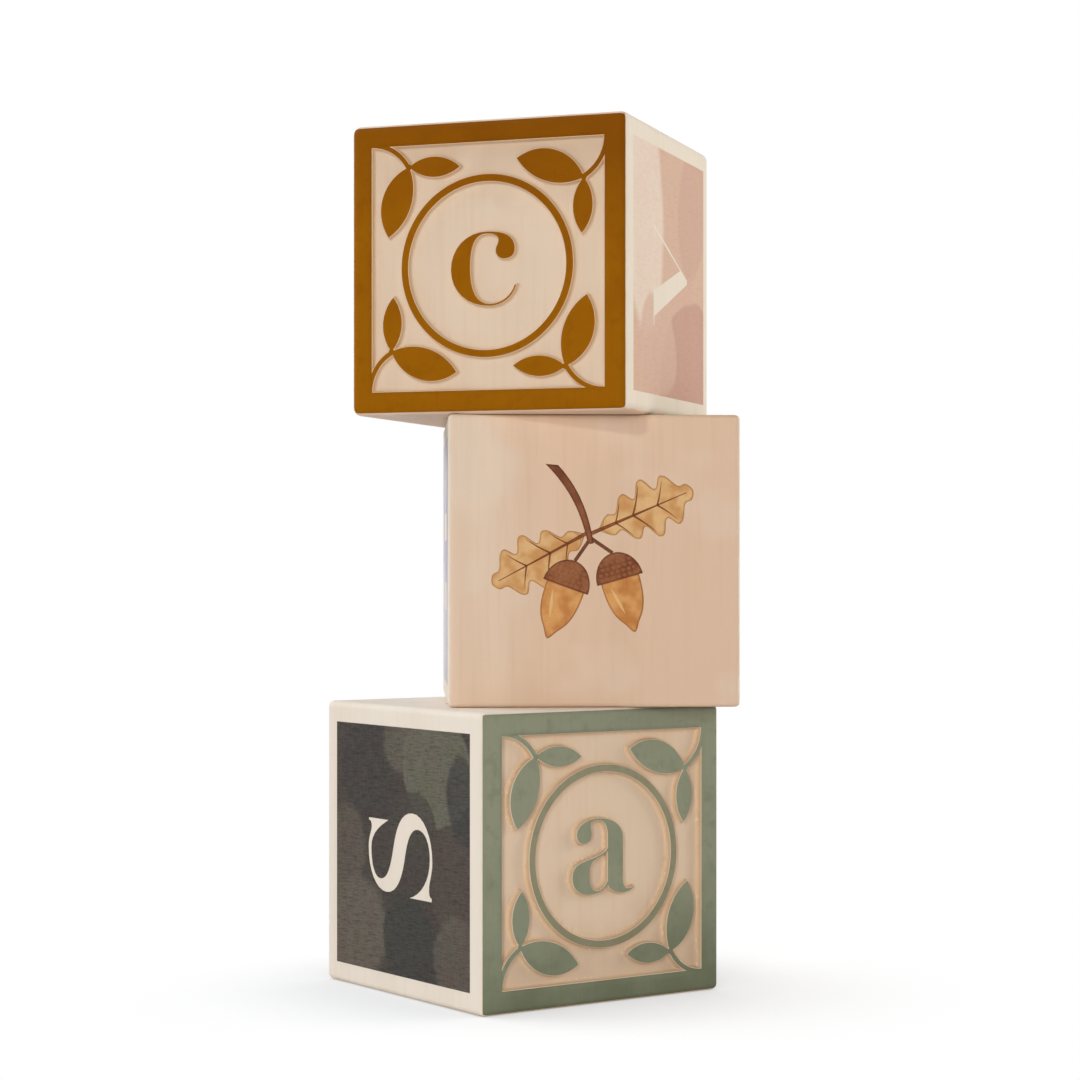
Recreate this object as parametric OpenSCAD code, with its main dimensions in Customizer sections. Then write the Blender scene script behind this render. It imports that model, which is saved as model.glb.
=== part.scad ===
// Stack of three wooden alphabet blocks.
// +Z is up. The origin is the centre of the bottom block's base, on the table.
// Each block is a solid cube. Two opposite faces are carved in relief and inked,
// two carry a printed panel with a capital letter left bare, and two carry a picture.

/* [Blocks] */
// Edge of each cube
block_edge = 44.45; // [38:0.05:60]
// Radius of the rounded edges
edge_round = 1; // [0.5:0.1:2]

/* [Stack] */
// Turn of the bottom block about Z, degrees
bottom_turn = 35.2; // [-90:0.1:90]
// Turn of the middle block about Z, degrees
middle_turn = 3.1; // [-90:0.1:90]
// Turn of the top block about Z, degrees
top_turn = -19.4; // [-90:0.1:90]
// How far the middle block stands to the right of the bottom block
middle_right = 10.2; // [-15:0.1:15]
// How far the middle block stands behind the bottom block
middle_behind = 6.6; // [-15:0.1:15]
// How far the top block stands to the right of the bottom block
top_right = 2.4; // [-15:0.1:15]
// How far the top block stands behind the bottom block
top_behind = 2.6; // [-15:0.1:15]

/* [Relief faces] */
// Width of the inked border
border_w = 3.5; // [2.5:0.1:5]
// Depth of the carved ground below the border
relief_depth = 1; // [0.5:0.1:1.5]
// Gap from the border to the ring
ring_margin = 4.95; // [4:0.05:6]
// Width of the ring
ring_w = 1.05; // [0.8:0.05:2]
// Width of the stems of the corner sprigs
stem_w = 0.7; // [0.4:0.05:1]
// Height of a small letter such as a
letter_h = 11.2; // [9:0.1:12.5]
// Thickness of the ink on the raised wood
ink_t = 0.08; // [0.05:0.01:0.12]

/* [Panel faces] */
// Bare wood round a printed panel
panel_margin = 3.2; // [2.5:0.1:6]
// Height of a capital letter
capital_h = 18.2; // [14:0.1:20]
// Thickness of the print on the flat faces
print_t = 0.05; // [0.03:0.01:0.08]

/* [Picture faces] */
// Side of the square that a picture fills
picture_w = 30; // [20:0.5:32]

/* [Hidden] */
$fn = 96;

// Cuts run this far past the surface that they open
overrun = 1;

// Straight pieces that each curved stretch of an outline is drawn with
curve_steps = 8;

// The border ink goes round the edge of the block to this angle
ink_wrap_angle = 45;
ink_wrap = edge_round * (1 - cos(ink_wrap_angle));

recess_half = block_edge / 2 - border_w;
ring_outer = recess_half - ring_margin;
panel_side = block_edge - 2 * panel_margin;

// Corner sprig at the upper left of a relief face, as shares of the half width of the ground
sprig_node_share = [-0.67, 0.825];
small_leaf_tip_share = [-0.23, 0.81];
small_leaf_sides_share = [0.082, 0.082];
big_leaf_tip_share = [-0.85, 0.26];
big_leaf_sides_share = [0.11, 0.147];
stem_start_share = [-1, 1.015];
stem_radius_share = 0.365;
bud_share = 1.3;
sprig_count = 4;

// Colours
wood = [0.87, 0.77, 0.66];
mustard = [0.57, 0.36, 0.02];
sage = [0.50, 0.54, 0.45];
clay = [0.68, 0.43, 0.33];
charcoal = [0.34, 0.32, 0.30];
rose = [0.79, 0.63, 0.56];
lilac = [0.80, 0.77, 0.80];
stone_grey = [0.60, 0.58, 0.53];
honey = [0.78, 0.60, 0.38];

// Letter outlines in hundredths of the letter's height, from its centre.
// A row of two numbers is a corner. A row of six is a curve from the last point:
// first handle, second handle, end.
a_outline_shares = [
    [-43.5, 30],
    [-43.5, 42.5, -27, 51, -8.5, 51],
    [15.5, 51, 33, 40.5, 33, 24],
    [33, -31.5],
    [33, -41, 36, -46.5, 43, -46.5],
    [46.5, -46.5, 49.5, -45.5, 52, -44],
    [48.5, -48.5, 41.5, -51, 33, -51],
    [20.5, -51, 11.5, -46.5, 8, -39],
    [1, -47, -10.5, -50.5, -23, -50.5],
    [-39.5, -50.5, -51, -41, -51, -27],
    [-51, -12.5, -40.5, -8, -26, -4.5],
    [-10.5, -0.5, 3, 3, 8, 10.5],
    [8, 26.5],
    [8, 40.5, 2, 48.5, -8.5, 48.5],
    [-13.5, 48.5, -18.5, 48, -21, 45],
    [-22, 40.5, -19.5, 35.5, -19.5, 30],
    [-19.5, 23, -24, 18, -31.5, 18],
    [-38.5, 18, -43.5, 22.5, -43.5, 30]
];
a_counter_shares = [
    [8, 7],
    [8, -34],
    [4.5, -41, -3, -46.5, -9.5, -46.5],
    [-18.5, -46.5, -22.5, -38.5, -22.5, -26.5],
    [-22.5, -13.5, -20.5, -7, -13.5, -4],
    [-5, -0.5, 4, 2, 8, 7]
];
c_outline_shares = [
    [48, -23],
    [43, -41, 26, -50, 11, -50],
    [-22, -50, -45.5, -29, -45.5, 0],
    [-45.5, 29, -24, 50, 6, 50],
    [32, 50, 46, 42, 46, 26],
    [46, 17, 40, 13, 31, 13],
    [24, 13, 19, 18, 19, 24],
    [19, 30, 23, 33, 23, 38],
    [23, 44, 16, 47.5, 6, 47.5],
    [-12, 47.5, -18, 31, -18, 2],
    [-18, -29, -9, -47.5, 11, -47.5],
    [29, -47.5, 42, -36, 46, -23]
];
s_outline_shares = [
    [27, 50],
    [27, 18.5],
    [22, 29.5, 15, 46, 2, 46],
    [-13, 46, -23.5, 40.5, -23.5, 31],
    [-23.5, 19.5, -10, 14.5, 3, 11],
    [21, 6.5, 35.5, -1, 35.5, -19.5],
    [35.5, -36.5, 18, -50, -2.5, -50],
    [-13, -50, -18.5, -45, -26, -45],
    [-30.5, -45, -32.5, -46.5, -32.5, -49],
    [-35.5, -49],
    [-35.5, -15],
    [-31, -33.5, -17.5, -46, -1, -46],
    [13, -46, 22.5, -38.5, 22.5, -27.5],
    [22.5, -17, 12.5, -11.5, -1, -8],
    [-18.5, -4, -34, 4, -34, 21.5],
    [-34, 39, -17.5, 50.5, 2, 50.5],
    [11, 50.5, 15.5, 45.5, 20, 45.5],
    [23.5, 45.5, 25, 47.5, 25, 50]
];
v_outline_shares = [[-39, 50], [-17, 50], [8, -29], [36.5, 50], [40, 50], [2, -50], [-2, -50]];
z_outline_shares = [
    [-36, 50], [38, 50], [-8, -47.5], [34, -47.5], [35.5, -24], [38, -24],
    [38, -50], [-38, -50], [8, 47.5], [-32, 47.5], [-33.5, 24], [-36, 24]
];

// The plainer letters are upright bars: the middle, the width, the foot and the head of each.
// A stem with a serif at both ends is its middle, its foot and its head.
stem_share = 24;
hair_share = 2.5;
serif_share = 44;
function stem_rows(stem) = [
    [stem[0], stem_share, stem[1], stem[2]],
    [stem[0], serif_share, stem[1], stem[1] + hair_share],
    [stem[0], serif_share, stem[2] - hair_share, stem[2]]
];
i_stem_shares = [0, -60, 40];
i_dot_shares = [0, 66, 32];
l_stem_shares = [0, -75, 75];
o_oval_shares = [100, 101];
o_counter_shares = [44, 96];
v_bars_shares = [
    [-28, 36, 50 - hair_share, 50],
    [38, 22, 50 - hair_share, 50]
];
a_cross_bar_shares = [[-2, 50, -20, -20 + hair_share]];
t_bars_shares = [
    [0, stem_share, -50, 50],
    [0, serif_share, -50, -50 + hair_share],
    [0, 80, 50 - hair_share, 50]
];
t_wedge_shares = [[-40, 50], [-40, 26], [-40 + hair_share, 26], [-28, 50]];
h_stems_shares = [[-30, -50, 50], [30, -50, 50]];
h_bars_shares = [[0, 60, 0, hair_share]];
l_capital_stem_shares = [-18, -50, 50];
l_capital_bars_shares = [[8, 60, -50, -50 + hair_share]];
l_wedge_shares = [[38, -50], [38, -26], [38 - hair_share, -26], [26, -50]];

// Where some letters stand off the centre of their face, in hundredths of their height
letter_centres_shares = [["a", [-2, 0]], ["c", [-5.5, -4.3]], ["S", [-1.8, 1.2]], ["V", [-0.6, -1.8]]];

// Outline of an oak leaf: the waves of lobes along it, how deep and how narrow the gaps between
// them are, how far along it is widest, and how blunt its tip is
leaf_waves = 4.5;
leaf_notch_share = 0.46;
leaf_notch_sharpness = 1.4;
leaf_fullness = 1.3;
leaf_bluntness = 0.7;
leaf_steps = 54;
leaf_stalk_shares = [-0.12, 0.2];
leaf_stalk_w_share = 2.5;

// Parts of the pictures, in hundredths of the picture's side, from its centre:
// a leaf is its foot, its tip and its width, and an acorn is its top and its turn
acorn_leaves_shares = [[[-4, 14], [-52, -12], 30], [[1, 15], [50, 36], 31]];
acorn_shares = [[[9, 4], 16], [[-10, 0], -20]];
acorn_twig_shares = [
    [-25, 49],
    [-12, 36, -7, 24, -3.5, 9],
    [-2.5, 8.4, -1.5, 8.4, -0.5, 9],
    [-3, 23, -7, 37, -21, 51]
];
acorn_fork_share = [-2, 11.5];
acorn_stalk_w_share = 1.8;
leaf_pair_shares = [[[-3, -42], [-34, 44], 36], [[6, -42], [44, 30], 32]];
cup_w_share = 24;
cup_h_share = 14;
nut_w_share = 20;
nut_h_share = 28;
nut_roundness = 0.8;
nut_tip_share = 0.15;
nut_tip_sharpness = 24;
cup_gap_share = 1.2;
acorn_steps = 24;

// Faces of a block, and the turn that carries the plane z = 0 to each
FACES = ["front", "right", "back", "left", "top", "under"];
FACE_TURNS = [[90, 0, 0], [90, 0, 90], [90, 0, 180], [90, 0, 270], [0, 0, 0], [180, 0, 0]];

// A block is its name, turn, place, level in the stack, then its reliefs, panels and pictures.
// Each of these is the face, what it shows and its colour.
BLOCKS = [
    ["bottom", bottom_turn, [0, 0], 0,
        [["front", "a", sage], ["back", "o", clay]],
        [["left", "S", charcoal], ["right", "T", rose]],
        [["top", "hanging leaves", honey], ["under", "acorns", honey]]],
    ["middle", middle_turn, [middle_right, middle_behind], 1,
        [["top", "i", sage], ["under", "z", mustard]],
        [["left", "H", lilac], ["right", "L", charcoal]],
        [["front", "acorns", honey], ["back", "leaves", honey]]],
    ["top", top_turn, [top_right, top_behind], 2,
        [["front", "c", mustard], ["back", "l", sage]],
        [["left", "A", stone_grey], ["right", "V", rose]],
        [["top", "acorns", honey], ["under", "leaves", honey]]]
];
function name_of(block) = block[0];
function reliefs_of(block) = block[4];
function panels_of(block) = block[5];
function pictures_of(block) = block[6];
function face_of(work) = work[0];
function shows(work) = work[1];
function colour_of(work) = work[2];

RELIEF_PARTS = ["border", "ring", "sprigs", "letter"];
function wood_name(block) = str(name_of(block), "_block_wood");
function part_name(block, work, part) = str(name_of(block), "_", face_of(work), "_", part);

// Curves

function bezier(p, h1, h2, q, t) =
    pow(1 - t, 3) * p + 3 * pow(1 - t, 2) * t * h1 + 3 * (1 - t) * t * t * h2 + pow(t, 3) * q;
function row_end(row) = len(row) == 2 ? row : [row[4], row[5]];
function row_points(start, row) = len(row) == 2 ? [row] :
    [for (k = [1 : curve_steps])
        bezier(start, [row[0], row[1]], [row[2], row[3]], row_end(row), k / curve_steps)];
function outline_points(rows) =
    [for (i = [0 : len(rows) - 1]) each row_points(row_end(rows[max(i - 1, 0)]), rows[i])];

// An outline given in hundredths of size
module outline(rows, size) {
    polygon(outline_points(rows) * size / 100);
}

// An upright oval whose width and height are in hundredths of size
module oval(shares, size) {
    polygon([for (k = [0 : $fn - 1])
        [shares[0] * cos(360 * k / $fn), shares[1] * sin(360 * k / $fn)] * size / 200]);
}

// Upright bars given in hundredths of size
module bars(rows, size) {
    for (row = rows)
        translate([row[0] - row[1] / 2, row[2]] * size / 100)
            square([row[1], row[3] - row[2]] * size / 100);
}

// Letters

function letter_centre(letter, size) =
    let (row = search([letter], letter_centres_shares)[0])
        row == [] ? [0, 0] : letter_centres_shares[row][1] * size / 100;

module small_letter(letter) {
    if (letter == "a")
        difference() {
            outline(a_outline_shares, letter_h);
            outline(a_counter_shares, letter_h);
        }
    if (letter == "c") outline(c_outline_shares, letter_h);
    if (letter == "o")
        difference() {
            oval(o_oval_shares, letter_h);
            oval(o_counter_shares, letter_h);
        }
    if (letter == "i") {
        bars(stem_rows(i_stem_shares), letter_h);
        translate([i_dot_shares[0], i_dot_shares[1]] * letter_h / 100)
            circle(d = i_dot_shares[2] * letter_h / 100);
    }
    if (letter == "l") bars(stem_rows(l_stem_shares), letter_h);
    if (letter == "z") outline(z_outline_shares, letter_h);
}

module v_shape() {
    outline(v_outline_shares, capital_h);
    bars(v_bars_shares, capital_h);
}

module capital(letter) {
    if (letter == "S") outline(s_outline_shares, capital_h);
    if (letter == "V") v_shape();
    if (letter == "A") {
        rotate(180) v_shape();
        bars(a_cross_bar_shares, capital_h);
    }
    if (letter == "T") {
        bars(t_bars_shares, capital_h);
        outline(t_wedge_shares, capital_h);
        mirror([1, 0]) outline(t_wedge_shares, capital_h);
    }
    if (letter == "H") {
        for (stem = h_stems_shares) bars(stem_rows(stem), capital_h);
        bars(h_bars_shares, capital_h);
    }
    if (letter == "L") {
        bars(stem_rows(l_capital_stem_shares), capital_h);
        bars(l_capital_bars_shares, capital_h);
        outline(l_wedge_shares, capital_h);
    }
}

// Relief ornament, drawn flat as it is seen from outside the block

// Radius of the arc that stands this high above a chord
function arc_radius(chord, height) = (chord * chord / 4 + height * height) / (2 * height);

// A leaf pointed at both ends, between two circular arcs that stand out from its
// middle line by sides[0] on the left, seen from its foot, and sides[1] on the right
module leaf(foot, tip, sides) {
    length = norm(tip - foot);
    left_r = arc_radius(length, sides[0]);
    right_r = arc_radius(length, sides[1]);
    translate((foot + tip) / 2)
        rotate(atan2(tip.y - foot.y, tip.x - foot.x))
            intersection() {
                translate([0, sides[0] - left_r]) circle(r = left_r);
                translate([0, right_r - sides[1]]) circle(r = right_r);
            }
}

// The stem bends out of the border's inner corner and down to the sprig's node
module sprig_stem() {
    start = stem_start_share * recess_half;
    radius = stem_radius_share * recess_half;
    centre = start - [0, radius];
    sweep = sprig_node_share * recess_half - centre;
    intersection() {
        translate(centre)
            difference() {
                circle(r = radius + stem_w / 2);
                circle(r = radius - stem_w / 2);
            }
        polygon([centre, centre + [0, 2 * radius], centre + 2 * radius * [1, 1], centre + 2 * sweep]);
        square(2 * recess_half, center = true);
    }
}

// The leaves leave the stem at a bud, which is this share of the stem's width
module sprig() {
    sprig_stem();
    translate(sprig_node_share * recess_half) circle(d = bud_share * stem_w);
    leaf(sprig_node_share * recess_half, small_leaf_tip_share * recess_half,
        small_leaf_sides_share * recess_half);
    leaf(sprig_node_share * recess_half, big_leaf_tip_share * recess_half,
        big_leaf_sides_share * recess_half);
}

module ring_shape() {
    difference() {
        circle(r = ring_outer);
        circle(r = ring_outer - ring_w);
    }
}

module sprigs_shape() {
    for (k = [0 : sprig_count - 1]) rotate(k * 360 / sprig_count) sprig();
}

module letter_shape(letter) {
    translate(letter_centre(letter, letter_h)) small_letter(letter);
}

module ground_shape() {
    square(2 * recess_half, center = true);
}

// Printed shapes

module panel_shape(letter) {
    difference() {
        square(panel_side, center = true);
        rotate(90) translate(letter_centre(letter, capital_h)) capital(letter);
    }
}

// Half width of an oak leaf at share t of its length, as a share of its widest
function gap_between_lobes(t) = pow((1 + cos(360 * leaf_waves * t)) / 2, leaf_notch_sharpness);
function lobed(t) =
    pow(max(sin(180 * pow(t, leaf_fullness)), 0), leaf_bluntness)
        * (1 - leaf_notch_share * gap_between_lobes(t));

// A leaf from its foot to its tip, with a stalk, in hundredths of size
module oak_leaf(foot, tip, width, size) {
    length = norm(tip - foot) * size / 100;
    side = [for (k = [0 : leaf_steps])
        [length * k / leaf_steps, width / 2 * size / 100 * lobed(k / leaf_steps)]];
    stalk_w = leaf_stalk_w_share * size / 100;
    translate(foot * size / 100)
        rotate(atan2(tip.y - foot.y, tip.x - foot.x)) {
            polygon([each side, for (k = [leaf_steps - 1 : -1 : 1]) [side[k].x, -side[k].y]]);
            translate([leaf_stalk_shares[0] * length, -stalk_w / 2])
                square([(leaf_stalk_shares[1] - leaf_stalk_shares[0]) * length, stalk_w]);
        }
}

// Depth of a nut below its rim at a turn round its outline, from rim to rim by way of the tip
function nut_depth(turn) =
    pow(sin(turn), nut_roundness) * (1 - nut_tip_share + nut_tip_share * pow(sin(turn), nut_tip_sharpness));

// An acorn that hangs from its top: the cup, and below it the nut that ends in a point
module acorn(top, turn, size) {
    turns = [for (k = [0 : acorn_steps]) 180 * k / acorn_steps];
    translate(top * size / 100) rotate(turn) {
        polygon([for (t = turns)
            [cos(t) * cup_w_share / 2, sin(t) * cup_h_share - cup_h_share] * size / 100]);
        translate([0, -cup_h_share - cup_gap_share] * size / 100)
            polygon([for (t = turns)
                [cos(t) * nut_w_share / 2, -nut_h_share * nut_depth(t)] * size / 100]);
    }
}

// A straight stalk from the fork of the twig into the top of an acorn's cup
module acorn_stalk(top, size) {
    way = top - acorn_fork_share;
    beside = [-way.y, way.x] / norm(way) * acorn_stalk_w_share / 2;
    polygon([acorn_fork_share + beside, top + beside, top - beside, acorn_fork_share - beside] * size / 100);
}

module picture_shape(motif) {
    if (motif == "acorns") {
        for (p = acorn_leaves_shares) oak_leaf(p[0], p[1], p[2], picture_w);
        for (p = acorn_shares) {
            acorn(p[0], p[1], picture_w);
            acorn_stalk(p[0], picture_w);
        }
        outline(acorn_twig_shares, picture_w);
    }
    if (motif == "leaves")
        for (p = leaf_pair_shares) oak_leaf(p[0], p[1], p[2], picture_w);
    if (motif == "hanging leaves") rotate(180) picture_shape("leaves");
}

// Places

// Carries children from the plane z = 0, with z outwards, to a face of a block
module on_face(face) {
    turn = FACE_TURNS[search([face], FACES)[0]];
    rotate(turn) translate([0, 0, block_edge / 2]) children();
}

// Carries children from a block's own centre to its place in the stack
module stood(block) {
    translate([block[2].x, block[2].y, (block[3] + 0.5) * block_edge]) rotate(block[1]) children();
}

// Extrudes a flat shape that lies just under the face, from one depth to another
module sunk(from_depth, to_depth) {
    translate([0, 0, -to_depth]) linear_extrude(to_depth - from_depth) children();
}

// Solids

module rounded_square(side, radius) {
    square([side, side - 2 * radius], center = true);
    square([side - 2 * radius, side], center = true);
    for (x = [-1, 1], y = [-1, 1])
        translate([x, y] * (side / 2 - radius)) circle(r = radius);
}

// A cube with rounded edges, all of it this far inside the block's surface
module cube_shape(inset) {
    side = block_edge - 2 * inset;
    intersection_for (turn = [[0, 0, 0], [90, 0, 0], [0, 90, 0]])
        rotate(turn)
            linear_extrude(side, center = true)
                rounded_square(side, edge_round - inset);
}

// What the border ink takes off a plain block, drawn on the face
module border_cut() {
    difference() {
        translate([0, 0, -ink_wrap])
            linear_extrude(ink_wrap + overrun)
                square(block_edge + 2 * overrun, center = true);
        translate([0, 0, -block_edge / 2]) cube_shape(ink_t);
    }
}

module relief_cut(letter) {
    border_cut();
    sunk(-overrun, ink_t) ground_shape();
    sunk(ink_t, relief_depth)
        difference() {
            ground_shape();
            ring_shape();
            sprigs_shape();
            letter_shape(letter);
        }
}

module block_wood(block) {
    color(wood)
        difference() {
            cube_shape(0);
            for (work = reliefs_of(block)) on_face(face_of(work)) relief_cut(shows(work));
            for (work = panels_of(block))
                on_face(face_of(work)) sunk(-overrun, print_t) panel_shape(shows(work));
            for (work = pictures_of(block))
                on_face(face_of(work)) sunk(-overrun, print_t) picture_shape(shows(work));
        }
}

module border_ink() {
    difference() {
        intersection() {
            translate([0, 0, -block_edge / 2]) cube_shape(0);
            border_cut();
        }
        sunk(-overrun, ink_wrap + overrun) ground_shape();
    }
}

module relief_ink(part, letter) {
    if (part == "border") border_ink();
    if (part == "ring") sunk(0, ink_t) ring_shape();
    if (part == "sprigs") sunk(0, ink_t) sprigs_shape();
    if (part == "letter") sunk(0, ink_t) letter_shape(letter);
}

module panel_print(letter) {
    sunk(0, print_t) panel_shape(letter);
}

module picture_print(motif) {
    sunk(0, print_t) picture_shape(motif);
}

for (block = BLOCKS) {
    stood(block) block_wood(block);
    for (work = reliefs_of(block), part = RELIEF_PARTS)
        stood(block) on_face(face_of(work)) color(colour_of(work)) relief_ink(part, shows(work));
    for (work = panels_of(block))
        stood(block) on_face(face_of(work)) color(colour_of(work)) panel_print(shows(work));
    for (work = pictures_of(block))
        stood(block) on_face(face_of(work)) color(colour_of(work)) picture_print(shows(work));
}
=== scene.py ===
"""Finishes for a stack of three wooden alphabet blocks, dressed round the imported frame.

Lengths are in millimetres until a mesh is placed, and in metres from then on. A face of
a block is drawn flat first, with x to the right and y up as it is seen from outside the
block and z outwards from the face, and is then carried to its place by one matrix.
"""
from __future__ import annotations

import logging
import math
from dataclasses import dataclass, field
from enum import Enum
from functools import cache
from typing import Any, Iterable, Sequence

import bmesh
import bpy
import numpy as np
from mathutils import Euler, Matrix, Vector
from mathutils.geometry import delaunay_2d_cdt
from mathutils.kdtree import KDTree

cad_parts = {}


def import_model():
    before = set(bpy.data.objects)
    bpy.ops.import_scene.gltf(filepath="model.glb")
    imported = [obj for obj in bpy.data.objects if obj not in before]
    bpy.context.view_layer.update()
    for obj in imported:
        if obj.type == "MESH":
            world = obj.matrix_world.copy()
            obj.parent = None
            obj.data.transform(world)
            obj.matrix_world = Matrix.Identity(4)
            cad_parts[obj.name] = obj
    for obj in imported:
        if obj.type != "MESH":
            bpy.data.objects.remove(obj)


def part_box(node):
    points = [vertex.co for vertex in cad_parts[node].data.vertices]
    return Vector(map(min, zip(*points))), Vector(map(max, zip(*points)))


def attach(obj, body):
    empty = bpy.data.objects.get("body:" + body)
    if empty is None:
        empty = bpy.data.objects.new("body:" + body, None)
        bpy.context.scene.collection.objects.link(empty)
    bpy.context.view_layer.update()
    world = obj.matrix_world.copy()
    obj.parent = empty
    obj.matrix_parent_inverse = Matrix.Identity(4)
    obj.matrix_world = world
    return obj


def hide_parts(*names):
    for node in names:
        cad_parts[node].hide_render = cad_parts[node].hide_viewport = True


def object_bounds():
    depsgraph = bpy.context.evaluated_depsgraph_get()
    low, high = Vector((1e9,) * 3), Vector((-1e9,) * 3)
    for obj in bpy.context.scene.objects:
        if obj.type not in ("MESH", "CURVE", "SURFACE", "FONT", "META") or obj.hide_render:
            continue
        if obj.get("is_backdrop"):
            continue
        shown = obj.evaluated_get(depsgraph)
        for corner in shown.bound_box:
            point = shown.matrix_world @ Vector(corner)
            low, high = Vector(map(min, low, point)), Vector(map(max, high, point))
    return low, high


log = logging.getLogger("alphabet_blocks")

MM = 0.001
IDENTITY = Matrix.Identity(4)
WHITE = (1.0, 1.0, 1.0, 1.0)

Colour = tuple[float, float, float]
Point = tuple[float, float]


def linear(colour: Colour) -> tuple[float, float, float, float]:
    """Turns a colour as it is seen on a screen into the light that a shader needs.

    Args:
        colour: Red, green and blue from 0 to 1, as on a screen.

    Returns:
        Linear red, green and blue, and an alpha of 1.
    """
    parts = [c / 12.92 if c <= 0.04045 else ((c + 0.055) / 1.055) ** 2.4 for c in colour]
    return (parts[0], parts[1], parts[2], 1.0)


# Node trees


class Wire:
    """A value in a node tree. Python's operators on it add Math nodes."""

    def __init__(self, tree: Tree, socket: bpy.types.NodeSocket) -> None:
        """Wraps an output socket of a tree."""
        self.tree = tree
        self.socket = socket

    def __add__(self, other: Wire | float) -> Wire:
        """Adds."""
        return self.tree.math("ADD", self, other)

    __radd__ = __add__

    def __sub__(self, other: Wire | float) -> Wire:
        """Takes away."""
        return self.tree.math("SUBTRACT", self, other)

    def __rsub__(self, other: Wire | float) -> Wire:
        """Takes this from a number."""
        return self.tree.math("SUBTRACT", other, self)

    def __mul__(self, other: Wire | float) -> Wire:
        """Multiplies."""
        return self.tree.math("MULTIPLY", self, other)

    __rmul__ = __mul__

    def __truediv__(self, other: Wire | float) -> Wire:
        """Divides."""
        return self.tree.math("DIVIDE", self, other)

    def __abs__(self) -> Wire:
        """Drops the sign."""
        return self.tree.math("ABSOLUTE", self)

    def smallest(self, other: Wire | float) -> Wire:
        """The smaller of two values."""
        return self.tree.math("MINIMUM", self, other)

    def largest(self, other: Wire | float) -> Wire:
        """The larger of two values."""
        return self.tree.math("MAXIMUM", self, other)


class Tree:
    """Adds nodes to one node tree."""

    def __init__(self, tree: bpy.types.NodeTree) -> None:
        """Starts on an empty tree."""
        self.tree = tree

    @classmethod
    def of(cls, owner: bpy.types.Material | bpy.types.World) -> Tree:
        """Empties the tree of a material or of a world, and starts on it.

        Args:
            owner: The material or the world.

        Returns:
            The started tree.
        """
        owner.use_nodes = True
        owner.node_tree.nodes.clear()
        return cls(owner.node_tree)

    def add(
        self, kind: str, inputs: dict[str | int, Any] | None = None, **settings: Any
    ) -> bpy.types.Node:
        """Adds one node.

        Args:
            kind: The node's type.
            inputs: For each socket, by name, identifier or place, a value, a wire, or a node
                whose first output is linked.
            settings: Properties of the node, which are set before its sockets are filled.

        Returns:
            The new node.
        """
        node = self.tree.nodes.new(kind)
        for name, value in settings.items():
            setattr(node, name, value)
        for key, value in (inputs or {}).items():
            socket = self.socket(node.inputs, key)
            if isinstance(value, bpy.types.Node):
                value = self.wire(value)
            if isinstance(value, Wire):
                self.tree.links.new(value.socket, socket)
            else:
                socket.default_value = value
        return node

    @staticmethod
    def socket(sockets: Any, key: str | int) -> bpy.types.NodeSocket:
        """Finds a socket by its place, or by its identifier, or else by its name.

        Args:
            sockets: The inputs or the outputs of a node.
            key: The socket's place, identifier or name.

        Returns:
            The socket.
        """
        if isinstance(key, int):
            return sockets[key]
        named = [s for s in sockets if s.identifier == key]
        return named[0] if named else sockets[key]

    def wire(self, node: bpy.types.Node, key: str | int = 0) -> Wire:
        """Wraps one output of a node."""
        return Wire(self, self.socket(node.outputs, key))

    def math(self, operation: str, *values: Wire | float) -> Wire:
        """Adds a Math node."""
        return self.wire(self.add("ShaderNodeMath", dict(enumerate(values)), operation=operation))

    def vector(self, operation: str, *values: Any) -> Wire:
        """Adds a Vector Math node."""
        inputs = dict(enumerate(values))
        return self.wire(self.add("ShaderNodeVectorMath", inputs, operation=operation))

    def parts(self, vector: Wire) -> tuple[Wire, Wire]:
        """Reads x and y from a place."""
        node = self.add("ShaderNodeSeparateXYZ", {0: vector})
        return self.wire(node, "X"), self.wire(node, "Y")

    def whole(self, **parts: Wire | float) -> Wire:
        """Makes one vector of X, Y and Z, where what isn't given is 0."""
        return self.wire(self.add("ShaderNodeCombineXYZ", parts))

    def step(self, value: Wire, low: float, high: float) -> Wire:
        """Rises smoothly from 0 at low to 1 at high, or falls where high is the smaller.

        Args:
            value: The value that the step follows.
            low: Where the step is still 0.
            high: Where it is 1.

        Returns:
            The step, from 0 to 1.
        """
        if low > high:
            return 1 - self.step(value, high, low)
        inputs = {"Value": value, "From Min": low, "From Max": high}
        node = self.add("ShaderNodeMapRange", inputs, interpolation_type="SMOOTHSTEP")
        return self.wire(node, "Result")

    def mix(self, share: Wire | float, first: Any, second: Any, blend: str = "MIX") -> Wire:
        """Mixes two colours.

        Args:
            share: How much of the second colour shows, from 0 to 1.
            first: The colour underneath, as a wire or as it is seen on a screen.
            second: The colour laid over it.
            blend: How the second colour acts on the first.

        Returns:
            The mixed colour.
        """
        under, over = (c if isinstance(c, Wire) else linear(c) for c in (first, second))
        inputs = {"Factor_Float": share, "A_Color": under, "B_Color": over}
        settings = {"data_type": "RGBA", "blend_type": blend, "clamp_result": False}
        return self.wire(self.add("ShaderNodeMix", inputs, **settings), "Result_Color")

    def noise(self, vector: Wire, scale: Any, detail: float = 2.0, rough: float = 0.5) -> Wire:
        """A soft random value from 0 to 1 that varies over a place.

        Args:
            vector: The place.
            scale: How closely the value varies, as one number or as one for each axis.
            detail: How many finer layers it has.
            rough: How strong these are.

        Returns:
            The value.
        """
        if isinstance(scale, tuple):
            vector, scale = self.vector("MULTIPLY", vector, scale), 1.0
        inputs = {"Vector": vector, "Scale": scale, "Detail": detail, "Roughness": rough}
        return self.wire(self.add("ShaderNodeTexNoise", inputs))


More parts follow.
